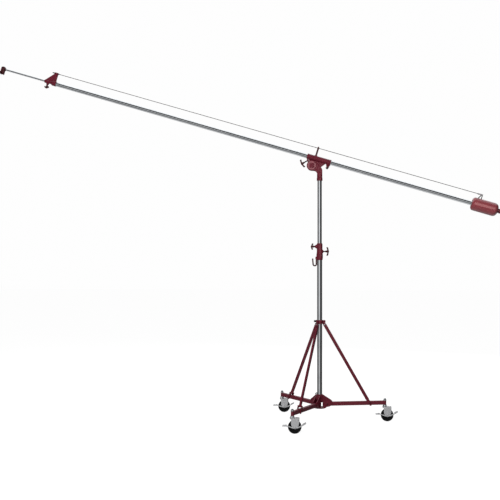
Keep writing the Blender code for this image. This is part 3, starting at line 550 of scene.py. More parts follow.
def close_tree(tree, instances, coat):
    """Ends a tree with real geometry in one material."""
    real = add(tree, "GeometryNodeRealizeInstances", {"Geometry": instances})
    coated = add(tree, "GeometryNodeSetMaterial", {"Geometry": real.outputs["Geometry"], "Material": coat})
    add(tree, "NodeGroupOutput", {"Geometry": coated.outputs["Geometry"]})


def round_the_axis(tree, count, item):
    """Copies of an item at equal steps round Z."""
    spots = add(tree, "GeometryNodeMeshLine", {"Count": count, "Offset": (0.0, 0.0, 0.0)}, mode="OFFSET")
    step = maths(tree, "DIVIDE", 2 * math.pi, count)
    angle = maths(tree, "MULTIPLY", add(tree, "GeometryNodeInputIndex").outputs["Index"], step)
    turned_by = add(tree, "ShaderNodeCombineXYZ", {"Z": angle}).outputs["Vector"]
    inputs = {"Points": spots.outputs["Mesh"], "Instance": item, "Rotation": turned_by}
    return add(tree, "GeometryNodeInstanceOnPoints", inputs).outputs["Instances"]


def make_ring_tree():
    """Copies of the given mesh round the Z axis: a race's balls, a wheel's spokes, a screw's knurl."""
    tree, given = new_tree("ring of copies", [("Count", "Int"), ("Coat", "Material")])
    close_tree(tree, round_the_axis(tree, given["Count"], given["Geometry"]), given["Coat"])
    return tree


def make_helix_tree():
    """Strands laid in a helix up the Z axis: one for a thread, several for a rope."""
    sizes = [("Strands", "Int"), ("Steps a Turn", "Int"), ("Turns", "Float"), ("Lay Radius", "Float")]
    sizes += [("Height", "Float"), ("Strand Radius", "Float"), ("Strand Sides", "Int"), ("Coat", "Material")]
    tree, given = new_tree("laid strands", sizes)
    lay = {
        "Resolution": given["Steps a Turn"],
        "Rotations": given["Turns"],
        "Start Radius": given["Lay Radius"],
        "End Radius": given["Lay Radius"],
        "Height": given["Height"],
    }
    path = add(tree, "GeometryNodeCurveSpiral", lay).outputs["Curve"]
    circle = {"Resolution": given["Strand Sides"], "Radius": given["Strand Radius"]}
    section = add(tree, "GeometryNodeCurvePrimitiveCircle", circle, mode="RADIUS").outputs["Curve"]
    swept = {"Curve": path, "Profile Curve": section, "Fill Caps": True}
    strand = add(tree, "GeometryNodeCurveToMesh", swept).outputs["Mesh"]
    close_tree(tree, round_the_axis(tree, given["Strands"], strand), given["Coat"])
    return tree


def grown(tree, mesh, values):
    """The mesh that a tree makes of another, with its named inputs set."""
    obj = temporary(mesh)
    modifier = obj.modifiers.new("tree", "NODES")
    modifier.node_group = tree
    for socket in tree.interface.items_tree:
        if socket.in_out == "INPUT" and socket.name in values:
            modifier[socket.identifier] = values[socket.name]
    return evaluated(obj)


def repeated(shape, count, coat):
    """Copies of a shape at equal steps round Z."""
    tree = bpy.data.node_groups.get("ring of copies") or make_ring_tree()
    return grown(tree, as_mesh(shape), {"Count": count, "Coat": coat})


def laid(strands, turns, steps, lay_radius, height, strand_radius, sides, coat):
    """Strands of a rope, or one thread, up the Z axis."""
    values = {
        "Strands": strands,
        "Steps a Turn": steps,
        "Turns": turns,
        "Lay Radius": lay_radius,
        "Height": height,
        "Strand Radius": strand_radius,
        "Strand Sides": sides,
        "Coat": coat,
    }
    tree = bpy.data.node_groups.get("laid strands") or make_helix_tree()
    return grown(tree, bpy.data.meshes.new("none"), values)


# Pieces on the model

def dressed(name, shape, coat, place, node, stands_in=True, smooth=35.0):
    """Adds a finished piece on a node's body, and by default in the node's stead."""
    mesh = as_mesh(shape)
    mesh.transform(place)
    mesh.materials.clear()
    mesh.materials.append(coat)
    mesh.shade_smooth()
    mesh.set_sharp_from_angle(angle=math.radians(smooth))
    mesh.name = name
    obj = bpy.data.objects.new(name, mesh)
    bpy.context.scene.collection.objects.link(obj)
    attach(obj, BODY_OF[node])
    if stands_in:
        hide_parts(node)


def cast(node, shape, size, passes, coat, place):
    """Dresses a node in its casting, moulded and shaded smooth all over."""
    dressed(f"{node}_casting", moulded(shape, size, passes), coat, place, node, smooth=SOFT)


# Lock handles

def swell(share, centre, half):
    """A smooth bump that is 1 at its centre and 0 beyond its half width."""
    away = min(1.0, abs(share - centre) / half)
    return math.cos(away * math.pi / 2) ** 2


def tee_bar():
    """The bowed bar of a T-handle: swollen in the middle and near its tips, with round ends."""
    bar_half, bow = 0.035, 0.007
    stations, sides = 48, 32
    corners = [polar(1.0, 2 * math.pi * i / sides) for i in range(sides)]
    outlines = []
    for i in range(stations + 1):
        share = -0.999 + 1.998 * i / stations
        waist, ends = swell(share, 0.0, 0.45), swell(abs(share), 0.90, 0.30)
        width = 0.0066 + 0.0026 * waist + 0.0013 * ends
        height = 0.0063 + 0.0012 * waist + 0.0009 * ends
        tip = max(0.0, abs(share) - 0.90) / 0.10
        thin = math.sqrt(1.0 - tip * tip)
        at, drop = share * bar_half, bow * share**2
        outlines.append([(at, y * width * thin, z * height * thin - drop) for y, z in corners])
    return skinned(outlines)


def tee_handle(neck):
    """The cast bar of a T-handle with its neck. Z = 0 is the middle of the bar."""
    profile = [(SCREW_R + 0.0012, -neck), (0.0074, 0.002 - neck), (0.0098, -0.002)]
    profile += [(0.0082, 0.0045), (0.0045, 0.0080)]
    return shaped(tee_bar(), joins=[turned(profile, SMALL_SIDES)])


def handle_screw(reach, neck):
    """The steel screw of a T-handle, from its neck to its tip at -reach."""
    profile = [(SCREW_R - 0.001, -reach), (SCREW_R, 0.001 - reach), (SCREW_R, 0.002 - neck)]
    return turned(profile, SMALL_SIDES)


def screw_thread(low, high, radius, coat, pitch=0.0016):
    """A rounded thread on a screw of this radius."""
    crest, steps_a_turn, sides = 0.00042, 20, 6
    lay_r, length = radius - 0.00005, high - low
    mesh = laid(1, length / pitch, steps_a_turn, lay_r, length, crest, sides, coat)
    mesh.transform(shift(z=low))
    return mesh


# Base and column

def hub():
    """A spool round the column's foot with a fork of two cheeks for each leg."""
    bottom, floor, top, sleeve_r, post_r, plate_r = 0.110, 0.119, 0.222, 0.029, 0.0125, 0.046
    hinge_r, hinge_z, column_bottom = 0.060, 0.1445, 0.1643
    spool = [
        (plate_r - 0.001, bottom), (plate_r, bottom + 0.001), (plate_r, floor),
        (post_r + 0.004, floor + 0.001), (post_r, floor + 0.006), (post_r, 0.155), (sleeve_r, 0.159),
        (sleeve_r, top - 0.004), (sleeve_r - 0.0025, top),
    ]
    outline = [
        (0.012, 0.219), (0.027, 0.219), (0.099, 0.172), *arc((0.0945, 0.153), 0.0085, 25, -40, 1),
        (0.082, 0.125), (0.055, 0.120), (0.044, bottom + 0.0006), (0.026, bottom + 0.0006),
        (0.026, 0.1605), (0.012, 0.1625),
    ]
    joins = []
    cuts = []
    for number in LEGS:
        about = leg_turn(number)
        for low in (ASTRIDE, -ASTRIDE - HUB_CHEEK):
            joins.append(placed(plate(outline, low, low + HUB_CHEEK), about))
            side = math.copysign(ASTRIDE + HUB_CHEEK - 0.0005, low)
            ends = sorted((side, side + math.copysign(0.0014, side)))
            boss = placed(rod(0.0105, *ends), crosswise(hinge_r, hinge_z))
            joins.append(placed(boss, about))
        web = block((0.0262, 0.043), (-ASTRIDE - 0.002, ASTRIDE + 0.002), (0.184, 0.205))
        joins.append(placed(web, about))
        hole = rod(running(PIN_R, SMALL_SIDES), -0.04, 0.04)
        cuts.append(placed(hole, about @ shift(hinge_r, 0, hinge_z) @ ALONG_Y))
    cuts.append(placed(rod(0.0036, 0.178, 0.216), leg_turn(1) @ shift(0.0355)))
    cuts.append(rod(running(COLUMN_R), column_bottom - GAP, 0.23, SIDES))
    return shaped(turned(spool), joins, cuts)


def leg_turn(number):
    """The turn about Z from +X to a leg."""
    outward = leg_place(number).col[0]
    return Matrix.Rotation(math.atan2(outward.y, outward.x), 4, "Z")


def lock_pin():
    """A bent spring pin dropped into the first leg's fork, its handle lying along the gusset."""
    bend = arc((0.0405, 0.2235), 0.005, 180, 55, 4)
    return bent_rod(0.003, [(0.0355, 0.1805), *bend, (0.062, 0.2125)])


def rivet(half_grip, head_r=0.0075, head=0.003):
    """A pivot pin along Y with a domed head at each end."""
    slopes = [i * math.pi / 18 for i in range(9)]
    dome = [(head_r * math.cos(a), half_grip + head * math.sin(a)) for a in slopes]
    upper = [(PIN_R, half_grip), *dome, (0.0006, half_grip + head)]
    return placed(turned([*mirrored(upper), *upper], SMALL_SIDES), ALONG_Y)


def pin_hole(x=0.0, z=0.0):
    return placed(rod(running(PIN_R, SMALL_SIDES), -0.04, 0.04), crosswise(x, z))


def channel(x, half, rise, corner):
    """A bar of rounded rectangular section along X."""
    corners = []
    held = 0.0003  # keeps the flats flat where they meet the rounded corners
    for centre_y, centre_z, start in (
        (half - corner, rise - corner, 0),
        (corner - half, rise - corner, 90),
        (corner - half, corner - rise, 180),
        (half - corner, corner - rise, 270),
    ):
        rounded = arc((centre_y, centre_z), corner, start, start + 90, 1)
        before = Vector(polar(held, math.radians(start - 90)))
        after = Vector(polar(held, math.radians(start + 180)))
        corners += [tuple(Vector(rounded[0]) + before), *rounded, tuple(Vector(rounded[-1]) + after)]
    return skinned([[(at, y, z) for y, z in corners] for at in x])


def leg(number):
    """Rectangular tube with holes for its pins, welded to a round socket for the caster's stem."""
    wall, inner, brace_at, stem_r = 0.0025, -0.020, 0.345, 0.006
    half, rise = LEG_WIDTH / 2, LEG_HEIGHT / 2
    stem = extent(f"caster_stem_{number}", leg_place(number))
    stem_at = (stem[0].x + stem[1].x) / 2
    place = leg_place(number)
    level = math.degrees(math.asin(place.col[0].z))
    upright = shift(stem_at) @ turn(level, "Y")
    body = channel((inner, stem_at), half, rise, 0.0035)
    socket = [(0.0112, -0.0166), (0.0120, -0.0158), (0.0120, 0.0158), (0.0112, 0.0166)]
    hollow = channel((inner - 0.01, stem_at - 0.014), half - wall, rise - wall, 0.0015)
    cuts = [hollow, pin_hole(), pin_hole(brace_at), bore(stem_r, -0.03, 0.03, upright)]
    return shaped(body, [placed(turned(socket), upright)], cuts)


def brace(length):
    """A flat tube: stirrup over the leg at its foot, fork for the collar's lug at its top."""
    depth, wall, rise, fork_depth = 0.025, 0.002, 0.0325, 0.034
    deep, half = depth / 2, BRACE_WIDTH / 2
    top = arc((0, length), deep, 0, 180, 6)
    body = plate([(-deep, rise + 0.006), (deep, rise + 0.006), *top], -half, half)
    yoke = [(-0.0085, rise), (0.0085, rise), (deep, rise + 0.005), (deep, rise + 0.010)]
    yoke += [(-deep, rise + 0.010), (-deep, rise + 0.005)]
    bridge = plate(yoke, -ASTRIDE - BRACE_STRAP, ASTRIDE + BRACE_STRAP)
    foot = [(-0.0105, rise + 0.003), *arc((0, -0.0125), 0.0105, 180, 360, 6), (0.0105, rise + 0.003)]
    straps = [plate(foot, low, low + BRACE_STRAP) for low in (ASTRIDE, -ASTRIDE - BRACE_STRAP)]
    within = (rise + 0.014, length - fork_depth + 0.006)
    hollow = block((wall - deep, deep - wall), (wall - half, half - wall), within)
    slot_half = LUG / 2 + 0.0004
    slot = block((-0.03, 0.03), (-slot_half, slot_half), (length - fork_depth, length + 0.03))
    return eased(shaped(body, [bridge, *straps], [hollow, slot, pin_hole(), pin_hole(z=length)]), 0.0011)


def collar_screw_place():
    """Origin on the column's axis, Z outwards along the thumb screw."""
    outward = joint_axis("collar_screw_turn")
    sideways = Vector((0, 0, 1)).cross(outward)
    return axes(joint_at("collar_screw_turn"), sideways, outward.cross(sideways), outward)


def brace_collar():
    """A ring that slides on the column, with an open slotted lug for each brace."""
    low, high, top_r, top_z = 0.790, 0.821, 0.041, 0.784
    inner = running(COLUMN_R)
    profile = [(0.027, low + 0.0015), (0.027, high - 0.0015), (0.0255, high)]
    profile += [(inner, high), (inner, low), (0.0255, low)]
    ring = turned(profile, endless=True)
    hole = running(PIN_R, SMALL_SIDES) + 0.0003
    seat = arc((top_r, top_z), hole, 125, 300, 6)
    outline = [
        (0.0235, high - 0.001), (0.0455, high - 0.001), (0.0475, 0.8145), (0.0475, 0.8005), *seat,
        (0.0475, 0.7815), (0.0475, 0.7760), (0.0440, 0.7715), (0.0365, 0.7715), (0.0300, 0.7790),
        (0.0235, low + 0.001),
    ]
    lugs = [placed(plate(outline, -LUG / 2, LUG / 2), leg_turn(number)) for number in LEGS]
    outward = column_place().inverted() @ collar_screw_place()
    boss = placed(rod(0.0085, 0.024, 0.0305), outward)
    return shaped(ring, [*lugs, boss], [bore(PIN_R, 0.012, 0.04, outward)])


def collar_screw():
    """Thumb screw that locks the collar, Z outwards from the column."""
    start = COLUMN_R + GAP
    head = [(0.0070, 0.0308), (0.0078, 0.0318), (0.0078, 0.0425), (0.0062, 0.0460), (0.0015, 0.0462)]
    return turned([(PIN_R, start), (PIN_R, 0.0308), *head], SMALL_SIDES)


def knurl():
    """One ridge of the thumb screw's grip."""
    return placed(channel((0.0325, 0.0418), 0.00035, 0.0006, 0.0002), shift(0.0077) @ BACKWARDS)


# Casters

def stem_race():
    """A caster's threaded stem with its domed nut, half the ball race, and the riveted kingpin."""
    half, stem_z, crown_bottom, fork_top = 0.0166, 0.1505, 0.1080, 0.1175
    kingpin_r, race_r, stem_r = 0.0045, 0.0195, 0.006
    low, high = stem_z - half - GAP, stem_z + half + GAP
    profile = [
        (0.0010, 0.1046), (0.0060, 0.1048), (0.0072, 0.1056), (0.0072, crown_bottom - GAP),
        (kingpin_r, crown_bottom - GAP), (kingpin_r, fork_top + GAP), (0.0145, fork_top + GAP),
        (0.0172, fork_top + 0.0016), (race_r, fork_top + 0.0020), (race_r, 0.1245), (0.0188, 0.1252),
        (0.0145, 0.1262), (0.0138, low), (stem_r, low), (stem_r, high), (0.0130, high),
        (0.0130, high + 0.0012), (0.0102, high + 0.0014),
    ]
    profile += [(0.0102, high + 0.0110), (0.0088, high + 0.0130), (0.0080, high + 0.0140)]
    dome = (0.3, 0.6, 0.9, 1.2, 1.45)
    profile += [(0.0080 * math.cos(a), high + 0.0140 + 0.0055 * math.sin(a)) for a in dome]
    return shaped(turned(profile, 60), joins=[nut_flats(high + 0.0013, high + 0.0100, 0.0098)])


def nut_flats(low, high, size):
    """A hexagon's six chamfered corners round a nut, as one solid."""
    corner = size / math.cos(math.pi / 6)
    return turned([(size, low), (corner, low + 0.0008), (corner, high - 0.0008), (size, high)], 6)


def caster_fork():
    """Pressed fork: round crown, two wide cheeks and a housed shoulder on the trailing side."""
    crown_bottom, fork_top, race_r, kingpin_r = 0.1080, 0.1175, 0.0195, 0.0045
    trail, wheel_r = 0.018, 0.0508
    cheek = [
        (-0.0080, crown_bottom + 0.001), (-0.0080, 0.066), (-0.0040, 0.0585), (0.0030, 0.0495),
        *arc((0.0200, wheel_r), 0.0140, 215, 325, 3), (0.0430, 0.056), (0.0495, 0.066), (0.0520, 0.074),
        (0.0520, crown_bottom + 0.001),
    ]
    outside = FORK_HALF + FORK_PLATE
    cheeks = [plate(cheek, low, low + FORK_PLATE) for low in (FORK_HALF, -outside)]
    crown = [(race_r, crown_bottom + 0.0005), (race_r, fork_top - 0.003)]
    crown += [(0.0176, fork_top - 0.0012), (0.013, fork_top)]
    roof = block((-0.0080, 0.0520), (-outside, outside), (crown_bottom, crown_bottom + 0.005))
    shoulder = block((0.0215, 0.0520), (-outside, outside), (crown_bottom + 0.002, 0.1205))
    boss = placed(rod(0.0112, -outside - 0.0002, outside + 0.0002), crosswise(trail, wheel_r))
    inside = block((-0.02, 0.06), (-FORK_HALF, FORK_HALF), (0.02, crown_bottom))
    kingpin = rod(running(kingpin_r), 0.09, 0.13)
    axle = bore(SCREW_R, -0.04, 0.04, crosswise(trail, wheel_r))
    return shaped(roof, [turned(crown), *cheeks, shoulder, boss], [inside, kingpin, axle])


def race_balls(count, coat):
    """The ball race's row of balls, between the crown and the stem's half."""
    ball = bmesh.new()
    bmesh.ops.create_uvsphere(ball, u_segments=14, v_segments=8, radius=0.0022)
    placed(ball, shift(0.0166, 0, 0.1172))
    return repeated(ball, count, coat)


def tyre():
    """Solid tyre turned about Y: a flat tread with two grooves, round shoulders and dished sides."""
    radius, half = 0.0508, 0.015
    side = [(0.0330, half - 0.0022), (0.0345, half - 0.0008), (0.0375, half), (0.0425, half)]
    corner = 0.0065
    slopes = (0.15, 0.45, 0.75, 1.05, 1.35, 1.55)
    shoulder = [(radius - corner * (1 - math.sin(a)), half - corner * (1 - math.cos(a))) for a in slopes]
    tread = [(radius, 0.0052), (radius - 0.0012, 0.0046), (radius - 0.0012, 0.0034), (radius, 0.0028)]
    upper = [*side, *shoulder, *tread]
    inner = [(0.0315, 0.0100 - half), (0.0315, half - 0.0100)]
    return placed(turned([*inner, *upper, *mirrored(upper)], 128, endless=True), ALONG_Y)


def wheel_hub():
    """Pressed hub with a dished web on each side and a bearing barrel."""
    upper = [
        (running(SCREW_R), 0.0170), (0.0088, 0.0170), (0.0095, 0.0162), (0.0095, 0.0120),
        (0.0130, 0.0085), (0.0240, 0.0085), (0.0290, 0.0118), (0.0330, 0.0128), (0.0332, 0.0110),
        (0.0318, 0.0102),
    ]
    return placed(turned([*upper, *mirrored(upper)], endless=True), ALONG_Y)


def hub_ribs(coat):
    """The web's raised spokes, on both sides of the wheel."""
    spokes, out = 8, 0.0092
    pair = [placed(channel((0.0100, 0.0300), 0.0016, 0.0011, 0.0008), shift(z=z)) for z in (out, -out)]
    return repeated(together(pair), spokes, coat)


def caster_axle():
    """The wheel's bolt, with a flanged head on the pedal's side and a nut on the other."""
    outer = FORK_HALF + FORK_PLATE + GAP
    pedal = outer + 0.0034 + 2 * GAP
    profile = [
        (0.0010, -pedal - 0.0042), (0.0062, -pedal - 0.0040), (0.0070, -pedal - 0.0032),
        (0.0070, -pedal - 0.0008), (0.0088, -pedal - 0.0008), (0.0088, -pedal), (SCREW_R, -pedal),
        (SCREW_R, outer), (0.0088, outer), (0.0088, outer + 0.0008), (0.0062, outer + 0.0008),
        (0.0062, outer + 0.0046), (0.0046, outer + 0.0050), (0.0042, outer + 0.0042),
        (0.0010, outer + 0.0042),
    ]
    nut = nut_flats(outer + 0.0007, outer + 0.0042, 0.0072)
    return placed(shaped(turned(profile), joins=[nut]), ALONG_Y)


def brake_pedal():
    """Rocking bar outside the fork with a tread across the wheel at each end; origin on the axle."""
    bar = [
        (-0.092, 0.0120), (-0.070, 0.0130), (-0.056, 0.0125), (-0.036, 0.0060), (-0.018, 0.0035),
        (0.000, 0.0090), (0.018, 0.0035), (0.036, 0.0085), (0.052, 0.0170), (0.084, 0.0340),
        (0.0875, 0.0300), (0.086, 0.0260), (0.054, 0.0070), (0.036, -0.0030), (0.014, -0.0095),
        (-0.014, -0.0095), (-0.036, -0.0020), (-0.056, 0.0050), (-0.092, 0.0050), (-0.0945, 0.0085),
    ]
    near = -FORK_HALF - FORK_PLATE - GAP
    far = near - 0.0034
    left = [(-0.0925, 0.0042), (-0.058, 0.0042), (-0.058, 0.0125), (-0.0925, 0.0110)]
    right = [(0.0600, 0.0130), (0.0850, 0.0250), (0.0840, 0.0340), (0.0570, 0.0210)]
    treads = [plate(left, far, 0.012), plate(right, far, 0.016)]
    return shaped(plate(bar, far, near), treads, [bore(SCREW_R, -0.05, 0.05, ALONG_Y)])


def pedal_grips():
    """Low ridges across each of a pedal's treads, against a slipping shoe."""
    level = [shift(-0.086 + 0.0055 * i, 0, 0.0119 + 0.0003 * i) for i in range(5)]
    steps = [0.004 + 0.0048 * i for i in range(5)]
    sloping = [shift(0.0580 + 0.90 * step, 0, 0.0216 + 0.44 * step) @ turn(-26, "Y") for step in steps]
    section = [(-0.0009, -0.0006), (0.0009, -0.0006), (0.0005, 0.0010), (-0.0005, 0.0010)]
    return together([placed(plate(section, -0.020, 0.009), at) for at in level + sloping])


def column_clamp():
    """Casting that grips the lower tube and holds the riser, with a conical boss for each handle."""
    bottom, top, riser_z, column_z, column_top = 1.304, 1.440, 1.414, 1.374, 1.358
    hook_x, hook_r = -0.0268, 0.0056
    low, high = running(COLUMN_R), running(RISER_R)
    step = column_top + GAP
    profile = [
        (0.0222, bottom), (0.0246, 1.310), (0.0262, 1.326), (0.0262, 1.351), (0.0230, 1.370),
        (0.0230, 1.435), (0.0212, top), (high, top), (high, step), (low, step), (low, bottom),
    ]
    body = turned(profile, endless=True)
    to_riser, to_column = shift(z=riser_z) @ BACKWARDS, shift(z=column_z) @ ALONG_X
    left = turned([(0.0175, 0.0195), (0.0160, 0.0290), (0.0100, 0.0350), (0.0080, 0.0410)], SMALL_SIDES)
    right = turned([(0.0195, 0.0190), (0.0150, 0.0240), (0.0095, 0.0310)], SMALL_SIDES)
    lug = block((-0.0342, -0.0222), (-0.0080, 0.0080), (1.3105, 1.332))
    hook = bore(hook_r, 1.296, 1.326, shift(hook_x))
    holes = [bore(SCREW_R, 0.010, 0.06, direction) for direction in (to_riser, to_column)]
    inner = rod(low, bottom - 0.01, step, SIDES)
    upper = rod(high, step - 0.01, top + 0.01, SIDES)
    joins = [placed(left, to_riser), placed(right, to_column), lug]
    return shaped(body, joins, [hook, *holes, inner, upper])


def cable_hook():
    """J-shaped rod under the clamp, for the lamp's cable."""
    shank_x, bend_r, bend_z, end_z = -0.0268, 0.0130, 1.272, 1.319
    bend = arc((shank_x - bend_r, bend_z), bend_r, 0, -180, 6)
    return bent_rod(0.0056, [(shank_x, 1.3255), *bend, (shank_x - 2 * bend_r - 0.004, end_z)])


# Head

def swivel_yoke():
    """Swivelling socket whose neck leans over to a fork of two discs for the tilt bolt."""
    bottom, shoulder, disc_r, slot_half, riser_top = 1.945, 2.012, 0.041, 0.0066, 1.996
    pivot = column_place().inverted() @ joint_at("boom_tilt")
    socket = [
        (0.0222, bottom), (0.0232, bottom + 0.002), (0.0232, bottom + 0.020), (0.0216, bottom + 0.027),
        (0.0216, shoulder - 0.006), (0.0180, shoulder),
    ]
    neck = [
        (0.0208, 1.996), (0.0215, 2.028), (0.0190, 2.042), (0.0100, 2.055), (-0.0080, 2.070),
        *arc((pivot.x, pivot.z), disc_r, 40, 262, 16), (-0.0430, 2.0255), (-0.0300, 2.0190),
        (-0.0215, 2.0080), (-0.0200, 1.996),
    ]
    fork = plate(neck, -YOKE_HALF, YOKE_HALF)
    slot = block((-0.12, 0.04), (-slot_half, slot_half), (shoulder, 2.12))
    socket_hole = rod(running(RISER_R), bottom - 0.01, riser_top + GAP, SIDES)
    bolt_hole = bore(TILT_BOLT_R, -0.04, 0.04, crosswise(pivot.x, pivot.z))
    return shaped(turned(socket), [fork], [slot, socket_hole, bolt_hole])


def tilt_bolt():
    """Bolt through the fork, with a dished flange on the near side."""
    outside = YOKE_HALF + GAP
    profile = [
        (0.0100, -outside - 0.0022), (0.0235, -outside - 0.0022), (0.0250, -outside - 0.0030),
        (0.0283, -outside - 0.0054), (0.0290, -outside - 0.0060), (0.0310, -outside - 0.0060),
        (0.0328, -outside - 0.0050), (0.0335, -outside - 0.0034), (0.0335, -outside),
        (TILT_BOLT_R, -outside), (TILT_BOLT_R, outside + 0.0115),
        (TILT_BOLT_R - 0.0008, outside + 0.0122),
    ]
    return placed(turned(profile), ALONG_Y)


def square(half, corner):
    """A square outline with rounded corners."""
    inner = half - corner
    outline = []
    for x, z, start in ((1, 1, 0), (-1, 1, 90), (-1, -1, 180), (1, -1, 270)):
        outline += arc((x * inner, z * inner), corner, start, start + 90, 1)
    return outline


def tilt_bolt_head():
    """The bolt's broad square head, sunk in its flange: a raised frame round a shallow recess."""
    outside = YOKE_HALF + GAP
    head = plate(square(0.0185, 0.0030), -outside - 0.0090, -outside - 0.0023)
    recess = plate(square(0.0140, 0.0020), -outside - 0.0100, -outside - 0.0072)
    return shaped(head, cuts=[recess])


def tilt_nut():
    outside = YOKE_HALF + GAP
    nut = [(0.0112, outside), (0.0125, outside + 0.0008)]
    nut += [(0.0125, outside + 0.0090), (0.0110, outside + 0.0105)]
    return shaped(placed(turned(nut, 6), ALONG_Y), cuts=[bore(TILT_BOLT_R, -0.05, 0.05, ALONG_Y)])


def boom_saddle():
    """Boom side of the head: sleeve, web, split tilt ring with ears, pinch lug and post boss."""
    ring_r, sleeve_r, start, end = 0.036, 0.0215, -0.058, 0.140
    ear_angle, ear_radius, lock_along, web_half = 136.0, 0.0535, 0.124, 0.0062
    axis = (tilted_place().inverted() @ boom_place().translation).z
    on_boom = shift(z=axis) @ ALONG_X
    profile = [
        (sleeve_r + 0.0004, start), (sleeve_r + 0.0012, start + 0.001),
        (sleeve_r + 0.0012, start + 0.012), (sleeve_r, start + 0.016), (sleeve_r, end - 0.016),
        (sleeve_r + 0.0012, end - 0.012), (sleeve_r + 0.0012, end - 0.001), (sleeve_r + 0.0004, end),
    ]
    ring = placed(rod(ring_r, -web_half, web_half, SIDES), ALONG_Y)
    outline = [
        (-0.054, axis - 0.012), (-0.050, 0.030), (-0.034, 0.010), (-0.010, -0.033), (0.020, -0.029),
        (0.050, -0.012), (0.074, 0.009), (0.100, 0.042), (0.106, axis - 0.012),
    ]
    web = plate(outline, 0.0003 - web_half, web_half - 0.0003)
    radial = turn(-ear_angle, "Y")
    at_lock, at_post = shift(lock_along, 0, axis), shift(POST_ALONG, 0, axis)
    ear_root = placed(block((0.030, 0.0450), (-0.0058, 0.0058), (-0.0120, 0.0120)), radial)
    ears = placed(block((0.0440, 0.0635), (-0.0100, 0.0100), (-0.0125, 0.0125)), radial)
    lock_boss = turned([(0.0185, -0.0190), (0.0150, -0.0270), (0.0110, -0.0390)], SMALL_SIDES)
    boss = placed(rod(0.0105, 0.018, 0.027), at_post)
    cuts = [
        bore(BOOM_R, start - 0.01, end + 0.01, on_boom, SIDES),
        bore(TILT_BOLT_R, -0.02, 0.02, ALONG_Y),
        placed(block((0.003, 0.0645), (-0.02, 0.02), (-0.0015, 0.0015)), radial),
        bore(POST_R, 0.0185, 0.04, at_post),
        bore(SCREW_R, -0.05, 0.0, at_lock),
        bore(SCREW_R, -0.0125, 0.03, radial @ shift(ear_radius)),
    ]
    joins = [ring, web, ear_root, ears, placed(lock_boss, at_lock), boss]
    return shaped(placed(turned(profile), on_boom), joins, cuts)


def truss_post():
    """Mast for the truss wire, forked at its top. Z = 0 is the boom's axis."""
    top = 0.098
    profile = [
        (POST_R - 0.0004, 0.0190), (POST_R, 0.0196), (POST_R, 0.085), (0.0067, 0.091),
        (0.0058, top - 0.0025), (0.0035, top - 0.0005), (0.0012, top),
    ]
    deep = (WIRE_ABOVE - WIRE_R - 0.0008, 0.12)
    notch = block((-0.02, 0.02), (-WIRE_R - 0.0005, WIRE_R + 0.0005), deep)
    return eased(shaped(turned(profile, SMALL_SIDES), cuts=[notch]), 0.0004)


# Boom and wire

def front_bracket():
    """Casting on the boom's tip: socket on the tube, nose round the rod, fin up to the wire's anchor."""
    start, end, lock_at, boom_from = -2.374, -2.268, -2.344, -2.298
    socket = [(0.0195, end), (0.0210, end - 0.003), (0.0210, -2.302), (0.0165, -2.3095)]
    nose = [(0.0125, -2.3080), (0.0125, -2.3270), (0.0145, -2.3330), (0.0145, -2.3700), (0.0130, start)]
    outline = [
        (-2.3720, 0.0100), (-2.3080, 0.0770), (-2.3040, 0.0775), (-2.3040, 0.0930), (-2.2780, 0.0930),
        (-2.2780, 0.0060), (-2.3720, 0.0060),
    ]
    fin = plate(outline, -0.0085, 0.0085)
    rib = [(-2.310, 0.0150), (-2.282, 0.0150), (-2.282, 0.0540), (-2.2950, 0.0540)]
    boss = placed(rod(0.0110, -0.0250, -0.008), shift(lock_at))
    cuts = [
        bore(BOOM_R, boom_from - GAP, end + 0.01, ALONG_X, SIDES),
        bore(ROD_R, -2.40, -2.25, ALONG_X),
        bore(SCREW_R, -0.04, 0.0, shift(lock_at)),
        bore(PIN_R, -2.33, -2.25, shift(z=WIRE_ABOVE) @ ALONG_X),
    ]
    joins = [placed(turned(nose), ALONG_X), fin, plate(rib, -0.0110, 0.0110), boss]
    return shaped(placed(turned(socket), ALONG_X), joins, cuts)


def front_anchor():
    """Threaded bolt through the fin, with its nut, and the cup that grips the wire's end."""
    start, low, high, end = -2.327, -2.3040 - GAP, -2.2780 + GAP, -2.268
    hold = running(WIRE_R)
    profile = [
        (PIN_R - 0.001, start), (PIN_R, start + 0.001), (PIN_R, low - 0.0064), (0.0060, low - 0.0062),
        (0.0072, low - 0.0055), (0.0072, low), (PIN_R, low), (PIN_R, high), (0.0060, high),
        (0.0060, high + 0.005), (0.0052, end - 0.001), (0.0046, end), (hold, end), (hold, high + 0.002),
    ]
    return placed(turned(profile, SMALL_SIDES), shift(z=WIRE_ABOVE) @ ALONG_X)


def rear_cup():
    """The cup that grips the wire's end."""
    hold = running(WIRE_R)
    start, end = 1.319, 1.361
    profile = [
        (0.0030, end), (0.0045, end - 0.0004), (0.0058, end - 0.003), (0.0060, end - 0.005),
        (0.0060, start + 0.001), (0.0052, start), (hold, start), (hold, end - 0.018),
    ]
    return placed(turned(profile, SMALL_SIDES), shift(z=WIRE_ABOVE) @ ALONG_X)


def rear_loop():
    """Bent steel loop that stands on the counterweight and holds the cup."""
    at, top, foot = LOOP_AT, WIRE_ABOVE, 0.0485
    points = [
        (at - 0.0225, foot), (at - 0.0060, top - 0.0075), (at - 0.0030, top - 0.0025), (at, top - 0.0010),
        (at + 0.0030, top - 0.0025), (at + 0.0040, top - 0.0075), (at + 0.0040, foot),
    ]
    return bent_rod(0.0036, points, 16)


